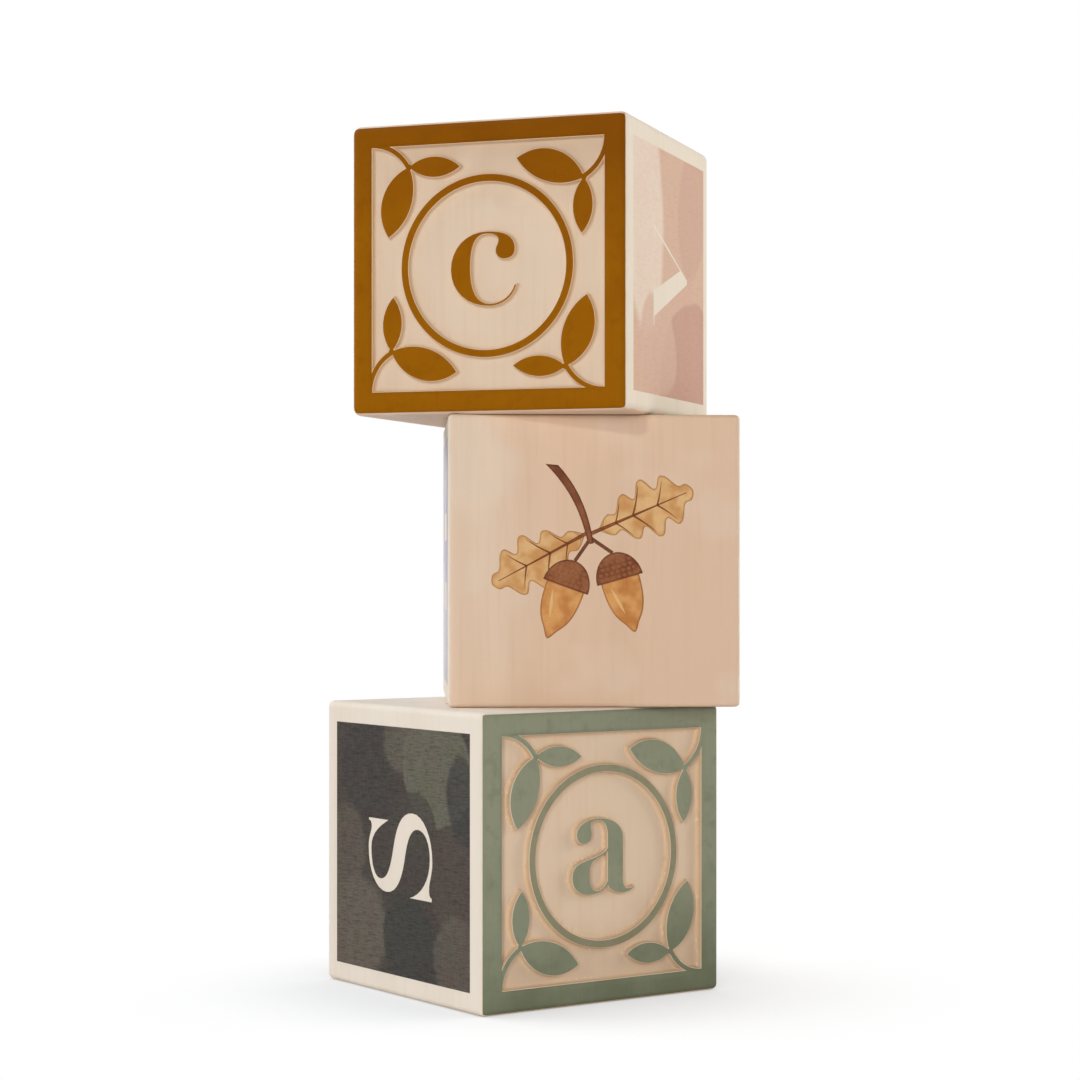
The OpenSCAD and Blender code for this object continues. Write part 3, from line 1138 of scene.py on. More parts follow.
def triangulated(points: np.ndarray, loops: Sequence[Sequence[int]] = ()) -> list[tuple[int, ...]]:
    """Joins flat points by Delaunay triangles.

    Args:
        points: The points.
        loops: Outlines that the triangles stay inside, by point, or none for all of them.

    Returns:
        The triangles, anticlockwise.
    """
    flat = [Vector((float(x), float(y))) for x, y in points[:, :2]]
    edges = [(loop[i - 1], loop[i]) for loop in loops for i in range(len(loop))]
    kind = 1 if loops else 0
    made = delaunay_2d_cdt(flat, edges, [list(loop) for loop in loops], kind, 1e-7, True)
    origin = [ids[0] if ids else -1 for ids in made[3]]
    faces = []
    for face in made[2]:
        corners = tuple(origin[i] for i in face)
        if -1 in corners:
            continue
        (ax, ay), (bx, by), (cx, cy) = (points[i, :2] for i in corners[:3])
        turn = (bx - ax) * (cy - ay) - (by - ay) * (cx - ax)
        faces.append(corners if turn > 0 else corners[::-1])
    return faces


class RoundedCube:
    """The rounded cube that a block is, as a lattice over its six faces."""

    ROUND_STEPS = 6
    FLAT_CELLS = 28
    # How far the rows along the rim of the flat lie from it
    BRACE = 0.25

    def __init__(self, edge: float, radius: float, field: float) -> None:
        """Sets the cube's sizes, in millimetres.

        Args:
            edge: The cube's edge.
            radius: The radius of its rounded edges.
            field: Half the side of the inked flat.
        """
        self.half = edge / 2
        self.radius = radius
        self.flat = self.half - radius
        self.field = min(self.flat, field)

    def round_stops(self) -> list[float]:
        """Lattice lines over a rounded edge, at equal steps of the turn to 45 degrees.

        Returns:
            The lines, from the flat of the face outwards.
        """
        turns = [math.radians(45) * (k + 1) / self.ROUND_STEPS for k in range(self.ROUND_STEPS)]
        bare = [self.flat] if self.flat - self.field > 0.01 else []
        return bare + [self.flat + self.radius * math.tan(t) for t in turns]

    def flat_stops(self) -> list[float]:
        """Lattice lines over the flat of a face."""
        inner = self.field - self.BRACE
        return [-self.field, *np.linspace(-inner, inner, self.FLAT_CELLS + 1), self.field]

    def rounded(self, points: np.ndarray) -> np.ndarray:
        """Pulls points of the plain cube's surface on to the rounded one.

        Args:
            points: Places on the plain cube.

        Returns:
            Places on the rounded cube.
        """
        core = np.clip(points, -self.flat, self.flat)
        out = points - core
        length = np.linalg.norm(out, axis=1, keepdims=True)
        return core + out * (self.radius / np.where(length > 0, length, 1))

    def face(self, stops: Sequence[float], hole: float = 0.0) -> Sheet:
        """Makes one face, flat to its edges and round over them.

        Args:
            stops: Lattice lines in both directions.
            hole: Half the side of the middle square that is left open.

        Returns:
            The face, drawn on z = 0.
        """
        grid = np.array([(x, y, self.half) for y in stops for x in stops], float)
        span = len(stops)
        middles = [(low + high) / 2 for low, high in zip(stops, stops[1:])]
        faces = []
        for row, y in enumerate(middles):
            for column, x in enumerate(middles):
                if max(abs(x), abs(y)) >= hole:
                    first = row * span + column
                    faces.append((first, first + 1, first + span + 1, first + span))
        return Sheet(self.rounded(grid) - (0, 0, self.half), faces).trimmed()


class Outline:
    """The edge of the ink on a relief face, read from the frame's ink nodes."""

    PARTS = ("border", "ring", "sprigs", "letter")
    # How far off the plane of the ink's top a point may lie
    LEVEL = 0.004
    # How far inside the inked flat the rim has to lie
    MARGIN = 0.05
    # How long the sum of the two directions out of a sharp corner is
    SHARP = (0.05, 1.9)

    def __init__(self, prefix: str, face: Matrix, flat: float) -> None:
        """Reads the flat tops of the ink.

        Args:
            prefix: What the names of the face's nodes begin with.
            face: Carries the face's own place, in millimetres, to the stack.
            flat: Half the side of the flat of the face, in millimetres.
        """
        back = np.array(face.inverted())
        places, triangles, base = [], [], 0
        for part in self.PARTS:
            mesh = bpy.data.objects[f"{prefix}_{part}"].data
            mesh.calc_loop_triangles()
            places.append(numbers(mesh.vertices, "co", 3) @ back[:3, :3].T + back[:3, 3])
            triangles.append(numbers(mesh.loop_triangles, "vertices", 3, int) + base)
            base += len(mesh.vertices)
        points, corners = np.concatenate(places), np.concatenate(triangles)
        rounded = np.round(points, 3)
        _, first, same = np.unique(rounded, axis=0, return_index=True, return_inverse=True)
        points, corners = points[first], same.reshape(-1)[corners]
        tops = corners[(np.abs(points[corners][:, :, 2]) < self.LEVEL).all(axis=1)]
        self.points = points * (1, 1, 0)
        self.tops = tops[(tops != np.roll(tops, 1, axis=1)).all(axis=1)]
        pairs = np.concatenate([self.tops[:, [k, (k + 1) % 3]] for k in range(3)])
        sides = np.sort(pairs, axis=1)
        _, place, count = np.unique(sides, axis=0, return_index=True, return_counts=True)
        rim = pairs[place[count == 1]]
        reach = np.abs(self.points[rim][:, :, :2]).max(axis=(1, 2))
        self.rim = rim[reach < flat - self.MARGIN]

    def samples(self, gap: float) -> tuple[np.ndarray, np.ndarray]:
        """Walks along the rim.

        Args:
            gap: The most that two neighbouring samples lie apart.

        Returns:
            The samples, and for each the direction out of the ink.
        """
        starts, ends = self.points[self.rim[:, 0], :2], self.points[self.rim[:, 1], :2]
        along = ends - starts
        spots, ways = [], []
        for start, step, length in zip(starts, along, np.linalg.norm(along, axis=1)):
            pieces = max(1, math.ceil(length / gap))
            shares = np.arange(pieces) / pieces if pieces > 1 else np.array([0.5])
            spots.append(start + shares[:, None] * step)
            out = np.array([step[1], -step[0]]) / max(length, 1e-9)
            ways.append(np.repeat(out[None], pieces, axis=0))
        return np.concatenate(spots), np.concatenate(ways)

    def corners(self) -> list[tuple[np.ndarray, np.ndarray]]:
        """Finds the sharp corners of the rim.

        Returns:
            Each corner with the direction that points straight out of it.
        """
        ways: dict[int, list[np.ndarray]] = {}
        for ends in self.rim:
            step = self.points[ends[1], :2] - self.points[ends[0], :2]
            out = np.array([step[1], -step[0]]) / max(np.linalg.norm(step), 1e-9)
            for end in ends:
                ways.setdefault(int(end), []).append(out)
        found = []
        for number, outs in ways.items():
            middle = sum(outs)
            length = np.linalg.norm(middle)
            if len(outs) == 2 and self.SHARP[0] < length < self.SHARP[1]:
                found.append((self.points[number, :2], middle / length))
        return found


class CarvedGround:
    """The wood of a relief face: raised under the ink, and carved down between."""

    # How far from the ink, and how deep there as a share of the carving's depth
    PROFILE = (
        (0.0, 0.0),
        (0.06, 0.03),
        (0.11, 0.14),
        (0.17, 0.45),
        (0.24, 0.80),
        (0.35, 0.95),
        (0.65, 1.0),
    )
    REACH = PROFILE[-1][0]
    # How far from the ink the look of a wall fades out, which is how far the painted shade beside
    # it reaches
    WALL_SEEN = 1.5
    UNEVENNESS = 0.05
    # The gaps between samples that distances are measured to, and between the ground's points
    FINE_GAP = 0.04
    GROUND_GAP = 0.45
    # Points in one square of this side are made one
    CELL = 0.035
    # How much nearer to the ink than its own row a point may lie
    SLACK = 0.012
    # How far inside the rim of the flat the points between the walls start and end
    GROUND_ENDS = (0.4, 0.3)
    # How far past the last row those points lie, and how far inside the rim every point lies
    ROW_CLEAR = 0.2
    RIM_CLEAR = 0.1
    # The turns of the points that fan out round a sharp corner, in degrees
    FANS = (0, -40, 40, -80, 80)

    def __init__(self, cube: RoundedCube) -> None:
        """Takes the cube whose flat the carving fills."""
        self.cube = cube
        self.gap = 0.16

    def lattice(self, outline: Outline) -> Sheet:
        """Places points along the walls of the carving and thinly between them.

        Args:
            outline: The rim of the ink.

        Returns:
            The flat of the face, not carved yet.
        """
        stops, flat = self.cube.flat_stops(), self.cube.field
        ends = (-flat, flat)
        sides = [(s, e) for e in ends for s in stops] + [(e, s) for e in ends for s in stops[1:-1]]
        fine, _ = outline.samples(self.FINE_GAP)
        tree = KDTree(len(fine))
        for number, (x, y) in enumerate(fine):
            tree.insert((x, y, 0), number)
        tree.balance()

        def gap_at(spot: Sequence[float]) -> float:
            """Distance from a point to the rim."""
            return tree.find((spot[0], spot[1], 0))[2]

        spots, ways = outline.samples(self.gap)
        fans = [Matrix.Rotation(math.radians(a), 2) for a in self.FANS]
        inner = list(spots)
        for level, _ in self.PROFILE[1:]:
            row = list(spots + level * ways)
            for spot, way in outline.corners():
                row += [spot + level * np.array(fan @ Vector(way)) for fan in fans]
            inner += [p for p in row if gap_at(p) > level - self.SLACK]
        start, end = self.GROUND_ENDS
        ground = np.arange(-flat + start, flat - end, self.GROUND_GAP)
        clear = self.REACH + self.ROW_CLEAR
        inner += [(x, y) for x in ground for y in ground if gap_at((x, y)) > clear]
        seen: dict[tuple[int, int], Sequence[float]] = {}
        for x, y in inner:
            if max(abs(x), abs(y)) < flat - self.RIM_CLEAR:
                seen.setdefault((round(x / self.CELL), round(y / self.CELL)), (x, y))
        points = np.array([(x, y, 0) for x, y in [*sides, *seen.values()]], float)
        return Sheet(points, triangulated(points))

    def carved(self, name: str, outline: Outline, seed: float) -> Sheet:
        """Carves the flat of a face with a shape tree.

        Args:
            name: The face's name.
            outline: The rim of the ink.
            seed: Where the random unevenness of the ground starts.

        Returns:
            The carved flat of the face.
        """
        sheet = self.lattice(outline)
        inputs = {
            "Rim": drawn(f"{name}_rim", outline.points, edges=outline.rim.tolist()),
            "Ink tops": drawn(f"{name}_lids", outline.points, faces=outline.tops.tolist()),
            "Depth": RELIEF_DEPTH - WOOD_INSET,
            "Border from": self.cube.half + WOOD_INSET - BORDER_W,
            "Unevenness": self.UNEVENNESS,
            "Seed": seed,
        }
        flat = drawn(name, sheet.points, faces=sheet.faces)
        made = shaped(flat, self.tree(), inputs, ("carved", "near_wall"))
        made.points -= (0, 0, WOOD_INSET)
        return made

    @classmethod
    @cache
    def tree(cls) -> bpy.types.NodeTree:
        """The shape tree that lowers a flat mesh by its distance from the ink.

        Returns:
            The tree, made once and used by every relief face.
        """
        sizes = ("Depth", "Border from", "Unevenness", "Seed")
        inputs = {"Rim": "Object", "Ink tops": "Object", **{key: "Float" for key in sizes}}
        tree = ShapeTree("carve_by_distance", inputs)
        given = tree.given
        near = tree.add("GeometryNodeProximity", {0: tree.shape_of("Rim")}, target_element="EDGES")
        place = tree.wire(tree.add("GeometryNodeInputPosition"))
        ray = {
            "Target Geometry": tree.shape_of("Ink tops"),
            "Source Position": tree.vector("ADD", place, (0.0, 0.0, 1.0)),
            "Ray Direction": (0.0, 0.0, -1.0),
            "Ray Length": 2.0,
        }
        x, y = tree.parts(place)
        border = given["Border from"] + 0.01
        bordered = tree.math("GREATER_THAN", abs(x).largest(abs(y)), border)
        covered = tree.wire(tree.add("GeometryNodeRaycast", ray), "Is Hit").largest(bordered)
        distance = tree.wire(near, "Distance") * (1 - covered)
        curve = tree.add("ShaderNodeFloatCurve", {"Value": (distance / cls.REACH).smallest(1.0)})
        cls.draw(curve.mapping)
        share = tree.wire(curve)
        moved = tree.vector("ADD", place, tree.whole(Z=given["Seed"]))
        swell, chatter = (tree.noise(moved, scale) - 0.5 for scale in (0.35, 1.7))
        rough = (swell + 0.35 * chatter) * given["Unevenness"] * share
        offset = tree.whole(Z=rough - share * given["Depth"])
        inputs = {"Geometry": given["Geometry"], "Offset": offset}
        shape = tree.add("GeometryNodeSetPosition", inputs)
        wall = (1 - distance / cls.WALL_SEEN).largest(0.0) * share.largest(0.0)
        settings = {"data_type": "FLOAT", "domain": "POINT"}
        for key, value in (("carved", share), ("near_wall", wall)):
            inputs = {"Geometry": shape, "Name": key, "Value": value}
            shape = tree.add("GeometryNodeStoreNamedAttribute", inputs, **settings)
        return tree.ended(shape)

    @classmethod
    def draw(cls, mapping: bpy.types.CurveMapping) -> None:
        """Draws the wall's profile as a curve.

        Args:
            mapping: The curve of a Float Curve node.
        """
        points = mapping.curves[0].points
        for point, (gap, depth) in zip((points[0], points[-1]), (cls.PROFILE[0], cls.PROFILE[-1])):
            point.location = (gap / cls.REACH, depth)
        for gap, depth in cls.PROFILE[1:-1]:
            points.new(gap / cls.REACH, depth)
        for point in points:
            point.handle_type = "AUTO_CLAMPED"
        mapping.update()


@dataclass(frozen=True)
class Fibres:
    """Fibres torn loose by the cutter, which stand along the inside of a ring.

    Attributes:
        radius: The radius of the ring's inner wall, in millimetres.
        depth: How deep the wall's foot lies.
        length: The length of a fibre, before its own chance.
        thickness: The thickness of a fibre, before its own chance.
    """

    radius: float = RING_INNER
    depth: float = RELIEF_DEPTH
    length: float = 0.75
    thickness: float = 0.07

    def grown(self, name: str, count: int, seed: int) -> Sheet:
        """Grows the fibres of one face.

        Args:
            name: The name of the helper object.
            count: How many places round the ring may hold a fibre.
            seed: The seed of everything random.

        Returns:
            The fibres, in millimetres, drawn on the face.
        """
        inputs = {
            "Radius": self.radius,
            "Depth": self.depth,
            "Count": count,
            "Length": self.length,
            "Thickness": self.thickness,
            "Seed": seed,
        }
        return shaped(drawn(name, ()), self.tree(), inputs)

    @staticmethod
    @cache
    def tree() -> bpy.types.NodeTree:
        """The shape tree that sets slivers round a circle.

        Returns:
            The tree, made once.
        """
        sizes = {key: "Float" for key in ("Radius", "Depth", "Length", "Thickness")}
        tree = ShapeTree("fibres_round_a_ring", {**sizes, "Count": "Int", "Seed": "Int"})
        given = tree.given

        def chance(low: float, high: float, shift: int) -> Wire:
            """A random number for each place, with its own seed.

            Args:
                low: The least that it can be.
                high: The most.
                shift: What is added to the face's seed.

            Returns:
                The number.
            """
            limits = {"Min_001": low, "Max_001": high, "Seed": given["Seed"] + shift}
            node = tree.add("FunctionNodeRandomValue", limits, data_type="FLOAT")
            return tree.wire(node, "Value_001")

        ring = {"Vertices": given["Count"], "Radius": given["Radius"]}
        circle = tree.add("GeometryNodeMeshCircle", ring, fill_type="NONE")
        place = tree.wire(tree.add("GeometryNodeInputPosition"))
        inputs = {0: place, "Scale": chance(-0.05, 0.0, 1)}
        inward = tree.add("ShaderNodeVectorMath", inputs, operation="SCALE")
        sunk = tree.whole(Z=chance(-1.0, -0.55, 2) * given["Depth"])
        shift = tree.vector("ADD", inward, sunk)
        thick = given["Thickness"] * chance(0.7, 2.0, 7)
        cone = {"Vertices": 4, "Radius Top": 0.0, "Radius Bottom": 0.5, "Depth": 1.0}
        turn = {"X": chance(-1.55, -1.1, 4), "Y": chance(-0.5, 0.5, 5), "Z": chance(-0.5, 0.5, 6)}
        kept = tree.noise(place, 0.16, 1.0) + chance(-0.12, 0.12, 3)
        inputs = {
            "Points": tree.add("GeometryNodeSetPosition", {"Geometry": circle, "Offset": shift}),
            "Selection": tree.math("GREATER_THAN", kept, 0.5),
            "Instance": tree.add("GeometryNodeMeshCone", cone),
            "Rotation": tree.whole(**turn),
            "Scale": tree.whole(X=thick, Y=thick, Z=given["Length"] * chance(0.4, 1.4, 8)),
        }
        return tree.ended(tree.add("GeometryNodeInstanceOnPoints", inputs))


# Blocks


@dataclass(frozen=True)
class Relief:
    """What a carved face carries.

    Attributes:
        ink: Its ink.
        slot: The name of the slot of that ink, which is not used.
        thick: The direction in which the ink lies thicker and the ground is duller.
        burn: How brown its ground and walls are, and how strong the painted shade beside and under
            its walls is, from 0 to 1.
        fibres: How many places round its ring may hold a torn fibre.
        wrap: How many steps of the rounded edge the border's ink goes round, up to 6.
    """

    ink: Ink
    slot: str
    thick: Point = (0.0, -0.4)
    burn: float = 0.5
    fibres: int = 60
    wrap: int = 6


@dataclass
class Block:
    """One block: its wood, and what its six faces carry.

    Attributes:
        name: The block's name, which its nodes' names begin with.
        reliefs: The relief of each carved face.
        panels: The print of each panel face, with the name of its slot.
        pictures: The motif of each picture face.
        edge_round: The radius of the block's edges, in millimetres.
        pale: The picture faces that are as pale as the panel faces.
        place: Where the block stands.
        inked: Half the side of the flat of a face, where ink and prints lie.
        cube: The rounded cube of its wood.
    """

    name: str
    reliefs: dict[Side, Relief]
    panels: dict[Side, tuple[Print, str]]
    pictures: dict[Side, Motif]
    edge_round: float = EDGE_ROUND
    pale: tuple[Side, ...] = ()
    place: Placement = field(init=False)
    inked: float = field(init=False)
    cube: RoundedCube = field(init=False)

    def __post_init__(self) -> None:
        """Reads where the block stands."""
        self.place = Placement.of(self.name)
        self.inked = self.place.edge / 2 - EDGE_ROUND
        wood_edge, wood_round = self.place.edge - 2 * WOOD_INSET, self.edge_round - WOOD_INSET
        self.cube = RoundedCube(wood_edge, wood_round, self.inked)

    @property
    def body(self) -> str:
        """The frame's body that the block is."""
        return f"{self.name}_block"

    def build(self) -> None:
        """Builds and dresses the whole block."""
        self.build_wood()
        for side, relief in self.reliefs.items():
            self.dress_relief(side, relief)
        for side, (paint, slot) in self.panels.items():
            name = f"{self.name}_{side.word}_panel"
            dress(name, paint.material(name, self.place.face(side)))
        for side, motif in self.pictures.items():
            Picture(self, side, motif).build()

    def build_wood(self) -> None:
        """Builds the block's wood, carved on its relief faces."""
        rounds = self.cube.round_stops()
        stops = [-s for s in reversed(rounds)] + self.cube.flat_stops() + rounds
        carver = CarvedGround(self.cube)
        sheets = []
        for number, side in enumerate(Side):
            face = self.place.face(side)
            relief = self.reliefs.get(side)
            sheet = self.cube.face(stops, self.cube.field if relief else 0.0)
            sheet = sheet.placed(face @ Matrix.Translation((0, 0, -WOOD_INSET)))
            sheets.append(sheet)
            if relief:
                prefix = f"{self.name}_{side.word}"
                outline = Outline(prefix, face, self.inked)
                carving = carver.carved(f"{prefix}_ground", outline, float(number))
                toward = carving.points[:, :2] @ relief.thick / (self.place.edge / 2)
                # This share sets how strong the painted shade beside and under the walls is, and
                # tints the ground and walls brown
                carving.values["near_wall"] *= relief.burn
                carving.values["browned"] = np.full(len(carving.points), relief.burn)
                carving.values["toward_dull"] = toward
                sheets.append(carving.placed(face))
            else:
                pale = side in self.panels or side in self.pale
                sheet.values["pale_face"] = np.full(len(sheet.points), float(pale))
        name = f"{self.name}_wood"
        wood = Basswood().material(name, self.place.block)
        node = f"{self.name}_block_wood"
        add_piece(Sheet.joined(sheets), name, wood, self.body, node)

    def dress_relief(self, side: Side, relief: Relief) -> None:
        """Lays the ink on one carved face, and grows its torn fibres.

        Args:
            side: The face.
            relief: What it carries.
        """
        prefix = f"{self.name}_{side.word}"
        face = self.place.face(side)
        ink = relief.ink.material(f"{prefix}_ink", face, relief.thick, self.place.edge)
        for part in ("ring", "sprigs", "letter"):
            dress(f"{prefix}_{part}", ink)
        name = f"{prefix}_fibres"
        fibres = Fibres().grown(name, relief.fibres, len(name) + relief.fibres).placed(face)
        wood = Basswood().material(name, self.place.block)
        add_piece(fibres, name, wood, self.body, weld=FINE_WELD)
        outer = RoundedCube(self.place.edge, self.edge_round, self.inked)
        inner = self.place.edge / 2 - BORDER_W
        rows = [*np.linspace(inner, outer.field, 4), *outer.round_stops()[: relief.wrap]]
        stops = [-s for s in reversed(rows)] + [*np.linspace(-inner, inner, 25)][1:-1] + rows
        border = outer.face(stops, inner).placed(face)
        node = f"{prefix}_border"
        add_piece(border, f"{node}_ink", ink, self.body, node, INK_T)


def dress(node: str, material: bpy.types.Material) -> None:
    """Gives a node of the frame a material.

    Args:
        node: The node's name.
        material: The material.
    """
    thing = bpy.data.objects[node]
    for slot in thing.material_slots:
        slot.link = "OBJECT"
        slot.material = material
    if not thing.material_slots:
        thing.data.materials.append(material)


# Pictures


class Motif(Enum):
    """What a picture face shows."""

    ACORNS = "acorns"
    LEAVES = "leaves"
    HANGING_LEAVES = "hanging leaves"


@dataclass(frozen=True)
class OakLeaf:
    """An oak leaf, in hundredths of the picture's side.

    Attributes:
        foot: Where the blade starts.
        tip: Where it ends.
        width: Its widest.
        tail: How far the rib runs out behind the foot, as a share of the length.
    """

    foot: Point
    tip: Point
    width: float
    tail: float = 0.12

    WAVES = 4.5
    NOTCH = 0.46
    NOTCH_SHARPNESS = 1.4
    FULLNESS = 1.3
    BLUNTNESS = 0.7
    # Where the rib ends, as a share of the length
    RIB_END = 0.93
    # Half the rib's width at its end, and what is added to that at its start
    RIB_HALVES = (0.2, 0.85)
    # The turn of a side vein from the rib, in degrees, and how far out to a lobe's crest it reaches
    VEIN_TURN = 52
    VEIN_REACH = 0.80

    @property
    def length(self) -> float:
        """The blade's length."""
        return math.dist(self.foot, self.tip)

    @property
    def lean(self) -> Matrix:
        """Carries the leaf from along +x to its place in the picture."""
        turn = math.atan2(self.tip[1] - self.foot[1], self.tip[0] - self.foot[0])
        return Matrix.Translation((*self.foot, 0)) @ Matrix.Rotation(turn, 4, "Z")

    def half_width(self, share: float) -> float:
        """Half the width of the blade.

        Args:
            share: How far along the blade, as a share of its length.

        Returns:
            Half the width there.
        """
        gap = ((1 + math.cos(2 * math.pi * self.WAVES * share)) / 2) ** self.NOTCH_SHARPNESS
        full = max(math.sin(math.pi * share**self.FULLNESS), 0.0) ** self.BLUNTNESS
        return self.width / 2 * full * (1 - self.NOTCH * gap)

    def blade(self) -> list[Point]:
        """The outline of the blade.

        Returns:
            Its points, in order.
        """
        shares = np.linspace(0, 1, 136)
        upper = [(self.length * s, self.half_width(s)) for s in shares]
        return upper + [(x, -y) for x, y in upper[-2:0:-1]]

    def rib(self) -> list[Point]:
        """The outline of the middle rib and the stalk.

        Returns:
            Its points, in order.
        """
        start, end = -self.tail * self.length, self.RIB_END * self.length
        shares = np.linspace(0, 1, 25)
        thin, more = self.RIB_HALVES
        wide = [(start + (end - start) * s, thin + more * (1 - s) ** 1.3) for s in shares]
        return wide + [(x, -y) for x, y in reversed(wide)]

    def vein_places(self) -> list[tuple[float, float, float]]:
        """Finds the side veins, each of which ends inside the crest of a lobe.

        Returns:
            The foot, the turn and the length of each.
        """
        veins = []
        for lobe in range(int(self.WAVES)):
            crest = (lobe + 0.5) / self.WAVES
            reach = self.VEIN_REACH * self.half_width(crest)
            for hand in (1, -1):
                turn = hand * math.radians(self.VEIN_TURN)
                foot = crest * self.length - reach / math.tan(abs(turn))
                veins.append((max(foot, 0.5), turn, reach / math.sin(abs(turn))))
        return veins


@dataclass(frozen=True)
class Acorn:
    """An acorn that hangs from its top, in hundredths of the picture's side.

    Attributes:
        top: The top of the cup.
        lean: Its turn, in degrees.
    """

    top: Point
    lean: float

    CUP_W = 24.0
    CUP_H = 14.0
    NUT_W = 20.0
    NUT_H = 28.0
    NUT_ROUNDNESS = 0.8
    NUT_TIP = 0.15
    NUT_TIP_SHARPNESS = 24
    CUP_GAP = -0.4
    # The rows of scales: how many, the first one above the cup's rim, and the gaps
    SCALE_ROWS = 5
    FIRST_ROW = 1.9
    ROW_GAP = 2.5
    SCALE_GAP = 2.9
    SCALE_MARGIN = 1.4
    # The pale stroke: how far left of the middle, how far it bends, its start, height and width
    GLEAM_LEFT = -5.6
    GLEAM_BEND = 3.4
    GLEAM_START = 3
    GLEAM_H = 15
    GLEAM_W = 1.9

    @property
    def place(self) -> Matrix:
        """Carries the acorn from its own top to its place in the picture."""
        return Matrix.Translation((*self.top, 0)) @ Matrix.Rotation(math.radians(self.lean), 4, "Z")

    def cup(self) -> list[Point]:
        """The outline of the cup.

        Returns:
            Its points, in order.
        """
        return [
            (math.cos(t) * self.CUP_W / 2, math.sin(t) * self.CUP_H - self.CUP_H)
            for t in np.linspace(0, math.pi, 49)
        ]

    def nut(self) -> list[Point]:
        """The outline of the nut.

        Returns:
            Its points, in order.
        """
        rim = -self.CUP_H - self.CUP_GAP
        points = []
        for t in np.linspace(0, math.pi, 49):
            sine = max(math.sin(t), 0.0)
            point = self.NUT_TIP * sine**self.NUT_TIP_SHARPNESS
            depth = sine**self.NUT_ROUNDNESS * (1 - self.NUT_TIP + point)
            points.append((math.cos(t) * self.NUT_W / 2, rim - self.NUT_H * depth))
        return points[::-1]

    def gleam(self) -> list[Point]:
        """The outline of the pale stroke down one side of the nut.

        Returns:
            Its points, in order.
        """
        rim = -self.CUP_H - self.CUP_GAP
        shares = np.linspace(0, 1, 17)
        inner = [
            (self.GLEAM_LEFT + self.GLEAM_BEND * s * s, rim - self.GLEAM_START - self.GLEAM_H * s)
            for s in shares
        ]
        back = zip(reversed(inner), reversed(shares))
        return inner + [(x + self.GLEAM_W * math.sin(math.pi * s), y) for (x, y), s in back]

    def scale_places(self) -> list[Point]:
        """Finds the scales on the cup, which lie in staggered rows.

        Returns:
            The middle of each.
        """
        places = []
        for row in range(self.SCALE_ROWS):
            y = -self.CUP_H + self.FIRST_ROW + self.ROW_GAP * row
            share = (y + self.CUP_H) / self.CUP_H
            half = self.CUP_W / 2 * math.sqrt(max(0.0, 1 - share**2)) - self.SCALE_MARGIN
            count = max(1, int(2 * half / self.SCALE_GAP))
            for k in range(count + row % 2):
                x = (k - (count - 1 + row % 2) / 2) * self.SCALE_GAP
                if abs(x) < half:
                    places.append((x, y))
        return places


TWIG_ROWS = (
    ((-25, 49), (-12, 36), (-7, 24), (-3.5, 9)),
    ((-3.5, 9), (-2.5, 8.4), (-1.5, 8.4), (-0.5, 9)),
    ((-0.5, 9), (-3, 23), (-7, 37), (-21, 51)),
)
FORK = (-2, 11.5)
STALK_W = 1.8
ACORN_LEAVES = (OakLeaf((-4, 14), (-52, -12), 30, 0.045), OakLeaf((1, 15), (50, 36), 31, 0.05))
ACORNS = (Acorn((9, 4), 16), Acorn((-10, 0), -20))
LEAF_PAIR = (OakLeaf((-3, -42), (-34, 44), 36), OakLeaf((6, -42), (44, 30), 32))


def bezier(rows: Iterable[Sequence[Point]], steps: int = 16) -> list[Point]:
    """Draws curves that follow each other.

    Args:
        rows: The start, the two handles and the end of each curve.
        steps: How many points a curve gets.

    Returns:
        The points along them.
    """
    points = []
    for start, first, second, end in rows:
        for k in range(steps):
            t = k / steps
            weights = ((1 - t) ** 3, 3 * (1 - t) ** 2 * t, 3 * (1 - t) * t * t, t**3)
            row = zip(weights, (start, first, second, end))
            spots = [(w * x, w * y) for w, (x, y) in row]
            points.append((sum(x for x, _ in spots), sum(y for _, y in spots)))
    return points


def stalk(top: Point) -> list[Point]:
    """The outline of the stalk from the fork of the twig to an acorn's top.

    Args:
        top: The acorn's top.

    Returns:
        Its four corners.
    """
    fork, end = Vector(FORK), Vector(top)
    way = end - fork
    beside = Vector((-way.y, way.x)).normalized() * STALK_W / 2
    return [tuple(p) for p in (fork - beside, end - beside, end + beside, fork + beside)]


